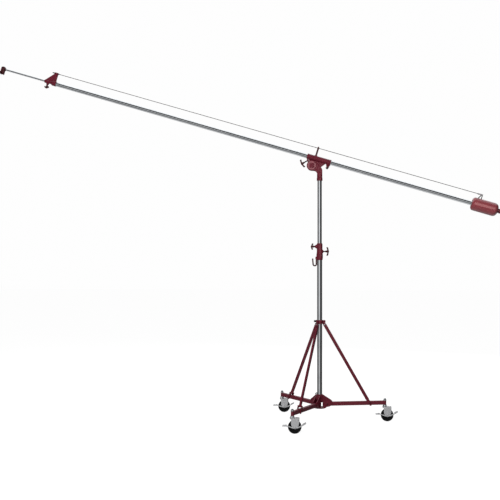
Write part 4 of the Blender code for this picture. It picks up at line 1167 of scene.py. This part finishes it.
def counterweight():
    """Cast barrel with rounded shoulders, bored for the boom, with seats for the loop and the set screw."""
    start, end, radius, front, rear = 1.295, 1.503, 0.0525, 0.022, 0.034
    profile = arc((radius - front, start + front), front, -90, 0, 4)
    profile += arc((radius - rear, end - rear), rear, 0, 90, 4)
    barrel = placed(turned(profile, 160), ALONG_X)
    tube = bore(BOOM_R, start - 0.01, end + 0.01, ALONG_X, SIDES)
    seats = [placed(rod(0.0060, 0.040, 0.06), shift(LOOP_AT + along)) for along in (-0.0225, 0.0040)]
    screw = bore(SCREW_R, -0.06, -0.010, shift(SET_SCREW_AT))
    return shaped(barrel, cuts=[tube, *seats, screw])


def set_screw():
    """Headless screw under the counterweight, bearing on the boom, with a hexagon recess."""
    tip, end = -BOOM_R - GAP, -0.047
    profile = [(SCREW_R - 0.0006, end), (SCREW_R, end + 0.0006), (SCREW_R, tip - 0.001)]
    profile += [(SCREW_R - 0.001, tip)]
    return shaped(turned(profile, SMALL_SIDES), cuts=[rod(0.0029, end - 0.01, end + 0.006, 6)])


def tail_plug():
    """Stub that closes the boom behind the counterweight."""
    inner, start, weight_end, end, radius = 0.0144, 1.432, 1.503, 1.540, 0.018
    profile = [(inner - 0.001, start), (inner, start + 0.001), (inner, weight_end + GAP)]
    profile += [(radius, weight_end + GAP), (radius, end - 0.003), (radius - 0.0004, end - 0.0015)]
    profile += [(radius - 0.0015, end - 0.0004), (radius - 0.003, end)]
    return placed(turned(profile), ALONG_X)


def extension_rod():
    """Rod with a guide head that runs inside the boom."""
    head, start, end = 0.0144, -2.769, -1.665
    profile = [(ROD_R - 0.001, start), (ROD_R, start + 0.001), (ROD_R, end - 0.030)]
    profile += [(head, end - 0.028), (head, end - 0.002), (ROD_R, end)]
    return placed(turned(profile), ALONG_X)


def lamp_receiver():
    """Lamp receiver: a downward socket with a notched rim, and a boss round the rod."""
    radius, bottom, top, socket_r, roof, lock_z = 0.019, -0.046, 0.021, 0.0143, -0.011, -0.029
    body = [
        (radius - 0.0012, bottom), (radius, bottom + 0.0015), (radius, 0.006), (0.0182, 0.0105),
        (0.0160, 0.0155), (0.0120, 0.0190), (0.0060, top),
    ]
    boss = placed(turned([(0.0130, 0.008), (0.0130, 0.0215), (0.0115, 0.0235)]), ALONG_X)
    sideways = shift(z=lock_z) @ BACKWARDS
    lock_boss = placed(rod(0.0085, 0.015, 0.0235), sideways)
    cuts = [
        rod(socket_r, bottom - 0.01, roof, SIDES),
        block((-0.0038, 0.0038), (-0.03, 0.03), (bottom - 0.01, bottom + 0.019)),
        bore(ROD_R, -0.0108, 0.05, ALONG_X, SIDES),
        bore(SCREW_R, 0.010, 0.05, sideways),
    ]
    return shaped(turned(body), [boss, lock_boss], cuts)


def drawn_tube(outer, inner, low, high):
    """A tube about Z with its ends lightly chamfered inside and out."""
    edge = 0.0006
    outside = [(outer - edge, low), (outer, low + edge), (outer, high - edge), (outer - edge, high)]
    inside = [(inner + edge, high), (inner, high - edge), (inner, low + edge), (inner + edge, low)]
    return turned(outside + inside, SIDES, endless=True)


# The user's settings

def colour_setting(name, description, code):
    return FloatVectorProperty(
        name=name, description=description, subtype="COLOR", size=4, min=0.0, max=1.0, default=linear(code),
    )


def length_setting(name, description, default, low, high):
    return FloatProperty(
        name=name, description=description, default=default, min=low, max=high, unit="LENGTH", precision=4,
    )


def power_setting(name, description, default):
    return FloatProperty(name=name, description=description, default=default, min=0.0, unit="POWER")


class StandFinishes(bpy.types.PropertyGroup):
    """Colours of the finishes."""

    maroon: colour_setting("Maroon", "Enamel of the castings and the legs", "#651A2A")
    # A darker copy of the maroon: painted shade on the thin handles, hook, post, receiver and rivet heads
    handle: colour_setting("Handles", "Maroon enamel of the lock handles, hook and post, darkened as painted shade", "#401419")
    weight: colour_setting("Counterweight", "Glossy enamel of the counterweight", "#9A464D")
    # A paler copy of the maroon over the whole flange: a painted highlight for its lit rim and dish
    pale: colour_setting("Tilt bolt", "Pale enamel of the tilt bolt's flange, as a painted highlight", "#A0646B")
    zinc: colour_setting("Zinc", "Plating of the casters", "#DADADB")
    oxide: colour_setting("Black steel", "Blackened pins and screws", "#3A3334")
    rubber: colour_setting("Tyres", "Rubber of the tyres", "#0B0B0C")
    hub: colour_setting("Wheel hubs", "Moulded hubs of the wheels", "#0C0C0D")


class StandSizes(bpy.types.PropertyGroup):
    """Sizes that set how finely the pieces are finished."""

    casting_grid: length_setting("Casting grid", "Facet size on the large castings", 0.0012, 0.0008, 0.004)
    casting_passes: IntProperty(
        name="Casting softness", description="Rounds of smoothing on a casting's edges",
        default=7, min=1, max=20,
    )
    pressing_grid: length_setting("Pressing grid", "Facet size on forks and pedals", 0.0009, 0.0006, 0.003)
    handle_grid: length_setting("Handle grid", "Facet size on the lock handles", 0.0006, 0.0004, 0.002)
    wire_lay: length_setting("Wire lay", "Length in which a strand goes once round", 0.036, 0.02, 0.1)
    race_balls: IntProperty(
        name="Balls", description="Balls in each caster's race", default=20, min=8, max=24,
    )


class StandStage(bpy.types.PropertyGroup):
    """The studio round the stand."""

    lens: FloatProperty(
        name="Lens", description="The camera's focal length in millimetres", default=58.392, min=20.0,
    )
    rise: FloatProperty(
        name="Rise", description="Upward shift of the lens, as a share of its width", default=0.0364,
    )
    azimuth: FloatProperty(
        name="Azimuth", description="How far the camera stands round towards the counterweight",
        default=math.radians(7.5), subtype="ANGLE",
    )
    distance: FloatProperty(
        name="Distance", description="From the column to the camera, along its view",
        default=6.55, unit="LENGTH",
    )
    aside: FloatProperty(
        name="Aside", description="How far the camera stands to the left of the column",
        default=0.5625, unit="LENGTH",
    )
    height: FloatProperty(name="Height", description="The camera's height", default=1.239, unit="LENGTH")
    ambient: FloatProperty(
        name="Ambient", description="Strength of the light from all round", default=0.30, min=0.0,
    )
    key: power_setting("Key lamp", "Power of the soft lamp in front", 235.0)
    fill: power_setting("Fill lamp", "Power of the soft lamp behind", 130.0)
    gloss: power_setting("Gloss lamp", "Power of the lamp that only enamel mirrors", 66.0)


def finish(name):
    """One of the stand's finishes, made the first time it is asked for."""
    if name in bpy.data.materials:
        return bpy.data.materials[name]
    colours = bpy.context.scene.stand_finishes
    makers = {
        "chrome on upright tube": lambda: chrome_plate(name, Vector((0, 0, 1))),
        "chrome on boom tube": lambda: chrome_plate(name, joint_axis("boom_slide")),
        "maroon enamel": lambda: enamel(name, tuple(colours.maroon)),
        # The same maroon enamel painted darker: painted shade for thin parts
        "maroon enamel darkened as painted shade": lambda: enamel(name, tuple(colours.handle), roughness=0.38),
        "glossy counterweight enamel": lambda: enamel(name, tuple(colours.weight), 0.28, 0.45),
        # Pale enamel: a painted highlight on the flange's lit rim and dish
        "pale enamel as painted highlight": lambda: enamel(name, tuple(colours.pale), 0.40, 0.1),
        "bright zinc": lambda: zinc_plate(name, tuple(colours.zinc)),
        "black oxide": lambda: black_oxide(name, tuple(colours.oxide)),
        "galvanised wire": lambda: galvanised_wire(name),
        "moulded black hub": lambda: moulded_black(name, tuple(colours.hub), 0.42),
        "tyre rubber": lambda: moulded_black(name, tuple(colours.rubber), 0.58),
    }
    return makers[name]()


# One operator for each group of pieces

class STAND_OT_column(bpy.types.Operator):
    """Dress the column: hub, tubes, clamp, cable hook and lock pin"""

    bl_idname = "stand.column"
    bl_label = "Column"

    def execute(self, context):
        sizes = context.scene.stand_sizes
        maroon = finish("maroon enamel")
        place = column_place()
        cast("base_hub", hub(), sizes.casting_grid * COARSER, sizes.casting_passes, maroon, place)
        tubes = (("lower_column", COLUMN_R, COLUMN_INNER_R), ("riser_tube", RISER_R, TUBE_INNER_R))
        for node, outer, inner in tubes:
            low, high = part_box(node)
            tube = drawn_tube(outer, inner, low.z, high.z)
            dressed(f"{node}_chrome", tube, finish("chrome on upright tube"), place, node)
        cast("column_clamp", column_clamp(), sizes.casting_grid, sizes.casting_passes, maroon, place)
        dressed("cable_hook_rod", cable_hook(), finish("maroon enamel darkened as painted shade"), place, "cable_hook")
        dressed("lock_pin_rod", lock_pin(), finish("black oxide"), place @ leg_turn(1), "lock_pin")
        return {"FINISHED"}


class STAND_OT_legs(bpy.types.Operator):
    """Dress the folding base: legs, braces, rivets, sliding collar and its screw"""

    bl_idname = "stand.legs"
    bl_label = "Legs and braces"

    def execute(self, context):
        sizes = context.scene.stand_sizes
        maroon, oxide = finish("maroon enamel"), finish("black oxide")
        painted, zinc = finish("maroon enamel darkened as painted shade"), finish("bright zinc")
        for number in LEGS:
            length = (middle(f"brace_top_pin_{number}") - joint_at(f"brace_fold_{number}")).length
            on_leg, on_brace = leg_place(number), brace_place(number)
            dressed(f"leg_{number}_tube", leg(number), maroon, on_leg, f"leg_{number}")
            dressed(f"brace_{number}_bar", brace(length), maroon, on_brace, f"brace_{number}", smooth=CRISP)
            hinge_rivet = rivet(ASTRIDE + HUB_CHEEK + GAP)
            dressed(f"leg_hinge_rivet_{number}", hinge_rivet, painted, on_leg, f"leg_hinge_pin_{number}")
            foot_rivet = rivet(ASTRIDE + BRACE_STRAP + GAP)
            dressed(f"brace_rivet_{number}", foot_rivet, painted, on_brace, f"brace_pin_{number}")
            top_rivet = rivet(BRACE_WIDTH / 2 + GAP, head_r=0.0065, head=0.0025)
            at_top = on_brace @ shift(z=length)
            dressed(f"brace_top_rivet_{number}", top_rivet, zinc, at_top, f"brace_top_pin_{number}")
        place = column_place()
        cast("brace_collar", brace_collar(), sizes.pressing_grid, sizes.casting_passes, maroon, place)
        place = collar_screw_place()
        dressed("collar_screw_body", collar_screw(), oxide, place, "collar_screw")
        ridge_count = 28
        ridges = repeated(knurl(), ridge_count, oxide)
        dressed("collar_screw_knurl", ridges, oxide, place, "collar_screw", stands_in=False)
        return {"FINISHED"}


class STAND_OT_casters(bpy.types.Operator):
    """Dress the casters: stems, ball races, forks, wheels, axles and brake pedals"""

    bl_idname = "stand.casters"
    bl_label = "Casters"

    def execute(self, context):
        sizes = context.scene.stand_sizes
        zinc, rubber = finish("bright zinc"), finish("tyre rubber")
        plated, black = finish("chrome on upright tube"), finish("moulded black hub")
        fork = moulded(caster_fork(), sizes.pressing_grid, FIRM)
        pedal = moulded(brake_pedal(), sizes.pressing_grid, FIRM)
        for number in LEGS:
            swivel = joint_at(f"caster_swivel_{number}")
            upright = shift(swivel.x, swivel.y)
            axle = Matrix.Translation(joint_at(f"wheel_spin_{number}"))
            stem_node, fork_node = f"caster_stem_{number}", f"caster_fork_{number}"
            wheel_node, pedal_node = f"caster_wheel_{number}", f"brake_pedal_{number}"
            dressed(f"caster_stem_{number}_race", stem_race(), plated, upright, stem_node)
            balls = race_balls(sizes.race_balls, zinc)
            dressed(f"caster_balls_{number}", balls, zinc, upright, stem_node, stands_in=False)
            dressed(f"caster_fork_{number}_pressing", fork.copy(), zinc, upright, fork_node, smooth=SOFT)
            dressed(f"caster_tyre_{number}", tyre(), rubber, axle, wheel_node)
            dressed(f"caster_hub_{number}", wheel_hub(), black, axle, wheel_node, stands_in=False)
            ribs = hub_ribs(black)
            dressed(f"caster_spokes_{number}", ribs, black, axle @ ALONG_Y, wheel_node, stands_in=False)
            dressed(f"caster_axle_{number}_bolt", caster_axle(), zinc, axle, f"caster_axle_{number}")
            dressed(f"brake_pedal_{number}_pressing", pedal.copy(), zinc, axle, pedal_node, smooth=SOFT)
            grips = pedal_grips()
            dressed(f"brake_pedal_{number}_grips", grips, zinc, axle, pedal_node, stands_in=False)
        return {"FINISHED"}


class STAND_OT_head(bpy.types.Operator):
    """Dress the head: swivel yoke, tilt bolt and nut, boom saddle and truss post"""

    bl_idname = "stand.head"
    bl_label = "Head"

    def execute(self, context):
        sizes = context.scene.stand_sizes
        maroon = finish("maroon enamel")
        grid, passes = sizes.casting_grid, sizes.casting_passes
        cast("swivel_yoke", swivel_yoke(), grid, passes, maroon, column_place())
        pivot = Matrix.Translation(joint_at("boom_tilt"))
        # The flange's pale enamel is a painted highlight where light falls on its rim and dish
        dressed("tilt_bolt_flange", tilt_bolt(), finish("pale enamel as painted highlight"), pivot, "tilt_bolt")
        head_passes = 4
        head = moulded(tilt_bolt_head(), sizes.handle_grid, head_passes)
        dressed("tilt_bolt_head", head, maroon, pivot, "tilt_bolt", stands_in=False, smooth=SOFT)
        dressed("tilt_nut_hexagon", tilt_nut(), finish("black oxide"), pivot, "tilt_nut")
        cast("boom_saddle", boom_saddle(), grid, passes, maroon, tilted_place())
        above = (tilted_place().inverted() @ boom_place().translation).z
        on_post = tilted_place() @ shift(POST_ALONG, 0, above)
        painted = finish("maroon enamel darkened as painted shade")
        dressed("truss_post_turned", truss_post(), painted, on_post, "truss_post", smooth=CRISP)
        return {"FINISHED"}


class STAND_OT_boom(bpy.types.Operator):
    """Dress the boom: tube, front bracket, extension rod, lamp receiver and tail plug"""

    bl_idname = "stand.boom"
    bl_label = "Boom"

    def execute(self, context):
        sizes = context.scene.stand_sizes
        maroon, chrome = finish("maroon enamel"), finish("chrome on boom tube")
        place = boom_place()
        low, high = extent("boom_tube", place)
        tube = placed(drawn_tube(BOOM_R, TUBE_INNER_R, low.x, high.x), ALONG_X)
        dressed("boom_tube_chrome", tube, chrome, place, "boom_tube")
        grid, passes = sizes.pressing_grid, sizes.casting_passes
        cast("front_bracket", front_bracket(), grid * COARSER, passes, maroon, place)
        dressed("extension_rod_chrome", extension_rod(), chrome, place, "extension_rod")
        painted = finish("maroon enamel darkened as painted shade")
        cast("lamp_receiver", lamp_receiver(), grid, passes, painted, receiver_place())
        dressed("tail_plug_turned", tail_plug(), maroon, place, "tail_plug")
        return {"FINISHED"}


class STAND_OT_wire(bpy.types.Operator):
    """Lay the truss wire over the boom and dress its two anchors"""

    bl_idname = "stand.wire"
    bl_label = "Truss wire"

    def execute(self, context):
        sizes = context.scene.stand_sizes
        galvanised, oxide = finish("galvanised wire"), finish("black oxide")
        place = boom_place()
        low, high = extent("truss_wire", place)
        length = high.x - low.x
        turns = length / sizes.wire_lay
        strands, strand_r, strand_sides, steps_a_turn = 6, 0.0008, 5, 12
        lay_r = WIRE_R - strand_r
        rope = laid(strands, turns, steps_a_turn, lay_r, length, strand_r, strand_sides, galvanised)
        on_wire = place @ shift(low.x, 0, WIRE_ABOVE) @ ALONG_X
        dressed("truss_wire_strands", rope, galvanised, on_wire, "truss_wire", smooth=SOFT)
        core_r, core_sides = WIRE_R - 1.5 * strand_r, 10
        core = rod(core_r, 0.0, length, core_sides)
        dressed("truss_wire_core", core, galvanised, on_wire, "truss_wire", stands_in=False)
        dressed("wire_front_anchor_bolt", front_anchor(), oxide, place, "wire_front_anchor")
        thread_start, thread_end, pitch = -2.3265, -2.3110, 0.00125
        thread = screw_thread(thread_start, thread_end, PIN_R, oxide, pitch)
        on_bolt = place @ shift(z=WIRE_ABOVE) @ ALONG_X
        dressed("wire_front_anchor_thread", thread, oxide, on_bolt, "wire_front_anchor", False, SOFT)
        dressed("wire_rear_anchor_cup", rear_cup(), finish("bright zinc"), place, "wire_rear_anchor")
        dressed("wire_rear_anchor_loop", rear_loop(), oxide, place, "wire_rear_anchor", False)
        return {"FINISHED"}


class STAND_OT_counterweight(bpy.types.Operator):
    """Dress the counterweight and its set screw"""

    bl_idname = "stand.counterweight"
    bl_label = "Counterweight"

    def execute(self, context):
        place = boom_place()
        gloss = finish("glossy counterweight enamel")
        # Its shoulders shade smooth, and its ends and bore keep their edges
        dressed("counterweight_barrel", counterweight(), gloss, place, "counterweight", smooth=30.0)
        at = place @ shift(SET_SCREW_AT)
        dressed("counterweight_set_screw", set_screw(), finish("black oxide"), at, "counterweight_screw")
        return {"FINISHED"}


class STAND_OT_handles(bpy.types.Operator):
    """Dress the six T-handles and cut their threads"""

    bl_idname = "stand.handles"
    bl_label = "Lock handles"

    def execute(self, context):
        grid = context.scene.stand_sizes.handle_grid
        dark, oxide = finish("maroon enamel darkened as painted shade"), finish("black oxide")
        short_neck, long_neck, thread_length = 0.0095, 0.022, 0.012
        for lock in ("riser_lock", "column_lock", "tilt_lock", "boom_lock", "rod_lock", "receiver_lock"):
            node = f"{lock}_handle"
            place = handle_place(node, f"{lock}_turn")
            reach = -extent(node, place)[0].z
            neck = short_neck if lock == "boom_lock" else long_neck
            cast(node, tee_handle(neck), grid, FIRM, dark, place)
            dressed(f"{lock}_screw", handle_screw(reach, neck), oxide, place, node, stands_in=False)
            thread = screw_thread(-neck - thread_length, -neck - 0.0004, SCREW_R, oxide)
            dressed(f"{lock}_thread", thread, oxide, place, node, stands_in=False, smooth=SOFT)
        return {"FINISHED"}


class STAND_OT_stage(bpy.types.Operator):
    """Set the white studio: floor, world, lamps and camera"""

    bl_idname = "stand.stage"
    bl_label = "Stage"

    def execute(self, context):
        stage = context.scene.stand_stage
        right = Vector((math.cos(stage.azimuth), math.sin(stage.azimuth), 0.0))
        back = Vector((math.sin(stage.azimuth), -math.cos(stage.azimuth), 0.0))
        column = column_place().translation
        make_floor()
        make_world(context.scene, stage.ambient, back, right)

        def lamp_spot(target, front, aside, above):
            """A place so far towards the camera, to the right and up from a point."""
            return target + back * front + right * aside + Vector((0, 0, above))

        waist = column + Vector((0, 0, 1.3))
        soft_lamp("key lamp", lamp_spot(waist, 4.6, -2.0, 1.7), waist, stage.key)
        soft_lamp("fill lamp", lamp_spot(waist, -4.6, 2.4, 1.3), waist, stage.fill)
        weight = middle("counterweight")
        gloss_lamp("gloss lamp", lamp_spot(weight, 3.8, 0.4, 0.55), weight, stage.gloss)
        lens = bpy.data.cameras.new("camera")
        lens.lens = stage.lens
        lens.shift_y = stage.rise
        camera = bpy.data.objects.new("camera", lens)
        beside = column - right * stage.aside
        camera.location = beside + back * stage.distance + Vector((0, 0, stage.height))
        camera.rotation_euler = (math.radians(90), 0.0, stage.azimuth)
        context.scene.collection.objects.link(camera)
        context.scene.camera = camera
        context.scene.view_settings.view_transform = "Standard"
        return {"FINISHED"}


def soft_lamp(name, at, target, power):
    """A square area lamp turned towards a point, and unseen by polished metal."""
    light = bpy.data.lights.new(name, "AREA")
    light.energy = power
    light.size = 2.6  # metres, for soft shadows
    lamp = bpy.data.objects.new(name, light)
    lamp.location = at
    lamp.rotation_euler = (target - at).to_track_quat("-Z", "Y").to_euler()
    bpy.context.scene.collection.objects.link(lamp)
    lamp.visible_glossy = False
    return lamp


def gloss_lamp(name, at, target, power):
    """A lamp that only puts highlights on enamel: the metal and the rubber do not see it."""
    lamp = soft_lamp(name, at, target, power)
    lamp.visible_glossy = True
    lamp.data.color = (1.0, 0.72, 0.68)  # pinkish, as the shine on the real enamel is
    lamp.visible_diffuse = False
    enamelled = bpy.data.collections.new("enamelled pieces")
    for obj in bpy.context.scene.objects:
        if obj.type == "MESH" and any(coat and "enamel" in coat.name for coat in obj.data.materials):
            enamelled.objects.link(obj)
    lamp.light_linking.receiver_collection = enamelled


# What the stage is made of

def smooth_step(tree, value, low, high, top=1.0):
    """0 below one value, the top above another, and a smooth rise between."""
    inputs = {"Value": value, "From Min": low, "From Max": high, "To Min": 0.0, "To Max": top}
    made = add(tree, "ShaderNodeMapRange", inputs, interpolation_type="SMOOTHSTEP")
    return made.outputs["Result"]


def towards(tree, direction, axis):
    """How far a direction points along an axis."""
    made = add(tree, "ShaderNodeVectorMath", {0: direction, 1: tuple(axis)}, operation="DOT_PRODUCT")
    return made.outputs["Value"]


def studio_pattern(tree, back, right):
    """What polished metal sees: darkness but for a few broad, plain surfaces.

    A narrow white sheet stands just left of the camera at eye level, a broad white ceiling reaches from
    overhead to the far wall, and a grey floor is paler behind.
    """
    way = add(tree, "ShaderNodeTexCoord").outputs["Generated"]
    height = towards(tree, way, (0, 0, 1))
    squared = maths(tree, "MULTIPLY", height, height)
    over_one = 1.0001  # keeps the level part from zero straight up and straight down
    level = maths(tree, "SQRT", maths(tree, "SUBTRACT", over_one, squared))

    def bearing(axis):
        """How far the level part of the direction points along an axis."""
        return maths(tree, "DIVIDE", towards(tree, way, axis), level)

    swung, leant, up = math.radians(20), math.radians(25), Vector((0, 0, 1))
    facing = bearing(back * math.cos(swung) - right * math.sin(swung))
    fading = spread(tree, height, 0.55, 1.0, -0.16, 0.06)  # dimmer towards the sheet's foot
    sheet = maths(tree, "MULTIPLY", smooth_step(tree, facing, 0.87, 0.93), fading)
    sides = spread(tree, bearing(right), 0.13, 0.05, -0.5, 0.5)
    above, under = smooth_step(tree, height, -0.26, -0.18), smooth_step(tree, height, 0.15, 0.11)
    band = maths(tree, "MULTIPLY", maths(tree, "ADD", sheet, sides), maths(tree, "MULTIPLY", above, under))
    overhead = towards(tree, way, up * math.cos(leant) - back * math.sin(leant))
    ceiling = smooth_step(tree, overhead, 0.60, 0.73, 1.45)
    below = maths(tree, "MULTIPLY", height, -1.0)
    floor = smooth_step(tree, below, 0.34, 0.90, 0.46)
    behind = smooth_step(tree, bearing(-back), 0.1, 0.5)
    far = maths(tree, "MULTIPLY", behind, smooth_step(tree, below, 0.20, 0.35, 0.40))
    bright = maths(tree, "ADD", band, ceiling)
    dim = maths(tree, "ADD", maths(tree, "ADD", floor, far), 0.03)
    return maths(tree, "ADD", bright, dim)


def mixed(tree, share, first, second):
    """One shader where the share is 0 and the other where it is 1."""
    return add(tree, "ShaderNodeMixShader", {0: share, 1: first.outputs[0], 2: second.outputs[0]})


def make_world(scene, ambient, back, right):
    """White to the camera, a studio to polished metal, and even light to everything else."""
    world = bpy.data.worlds.new("studio")
    world.use_nodes = True
    tree = world.node_tree
    tree.nodes.clear()
    path = add(tree, "ShaderNodeLightPath").outputs
    even = add(tree, "ShaderNodeBackground", {"Color": WHITE, "Strength": ambient})
    pattern = add(tree, "ShaderNodeBackground", {"Color": (0.97, 0.985, 1.0, 1.0)})
    tree.links.new(studio_pattern(tree, back, right), pattern.inputs["Strength"])
    white = add(tree, "ShaderNodeBackground", {"Color": WHITE, "Strength": 0.99})
    lit = mixed(tree, path["Is Glossy Ray"], even, pattern)
    seen = maths(tree, "MAXIMUM", path["Is Camera Ray"], path["Is Transmission Ray"])
    add(tree, "ShaderNodeOutputWorld", {"Surface": mixed(tree, seen, lit, white).outputs[0]})
    scene.world = world


def make_floor():
    """A wide white floor with a faint shadow, clear to the metal, which sees the world's own floor."""
    bm = bmesh.new()
    bmesh.ops.create_grid(bm, x_segments=1, y_segments=1, size=40.0)
    mesh = as_mesh(bm)
    made = bpy.data.materials.new("studio floor")
    made.use_nodes = True
    tree = made.node_tree
    tree.nodes.clear()
    path = add(tree, "ShaderNodeLightPath").outputs
    card = add(tree, "ShaderNodeBsdfDiffuse", {"Color": linear("#F2F2F2")})
    grey = add(tree, "ShaderNodeBsdfDiffuse", {"Color": linear("#8C8C8C")})
    # A little past white, so that the floor's far edge doesn't show against the world
    glow = add(tree, "ShaderNodeEmission", {"Color": WHITE, "Strength": 1.22})
    to_camera = mixed(tree, 0.75, card, glow)
    bounced = mixed(tree, path["Is Glossy Ray"], grey, add(tree, "ShaderNodeBsdfTransparent"))
    seen = mixed(tree, path["Is Camera Ray"], bounced, to_camera)
    add(tree, "ShaderNodeOutputMaterial", {"Surface": seen.outputs[0]})
    mesh.materials.append(made)
    floor = bpy.data.objects.new("floor", mesh)
    bpy.context.scene.collection.objects.link(floor)


class STAND_PT_panel(bpy.types.Panel):
    """Lists the stand's groups and their settings"""

    bl_label = "Boom Light Stand"
    bl_idname = "STAND_PT_panel"
    bl_space_type = "VIEW_3D"
    bl_region_type = "UI"
    bl_category = "Boom Stand"

    def draw(self, context):
        for operator in OPERATORS:
            self.layout.operator(operator.bl_idname)
        for group in SETTINGS:
            settings = getattr(context.scene, group)
            for name in settings.bl_rna.properties.keys():
                if name not in ("rna_type", "name"):
                    self.layout.prop(settings, name)


OPERATORS = (
    STAND_OT_column,
    STAND_OT_legs,
    STAND_OT_casters,
    STAND_OT_head,
    STAND_OT_boom,
    STAND_OT_wire,
    STAND_OT_counterweight,
    STAND_OT_handles,
    STAND_OT_stage,
)
SETTINGS = {"stand_finishes": StandFinishes, "stand_sizes": StandSizes, "stand_stage": StandStage}


def register():
    for kind in (*SETTINGS.values(), *OPERATORS, STAND_PT_panel):
        bpy.utils.register_class(kind)
    for name, group in SETTINGS.items():
        setattr(bpy.types.Scene, name, PointerProperty(type=group))


def unregister():
    for name in SETTINGS:
        delattr(bpy.types.Scene, name)
    for kind in (STAND_PT_panel, *reversed(OPERATORS), *SETTINGS.values()):
        bpy.utils.unregister_class(kind)


def main():
    register()
    bpy.ops.stand.column()
    bpy.ops.stand.legs()
    bpy.ops.stand.casters()
    bpy.ops.stand.head()
    bpy.ops.stand.boom()
    bpy.ops.stand.wire()
    bpy.ops.stand.counterweight()
    bpy.ops.stand.handles()
    bpy.ops.stand.stage()


if __name__ == "__main__":
    main()
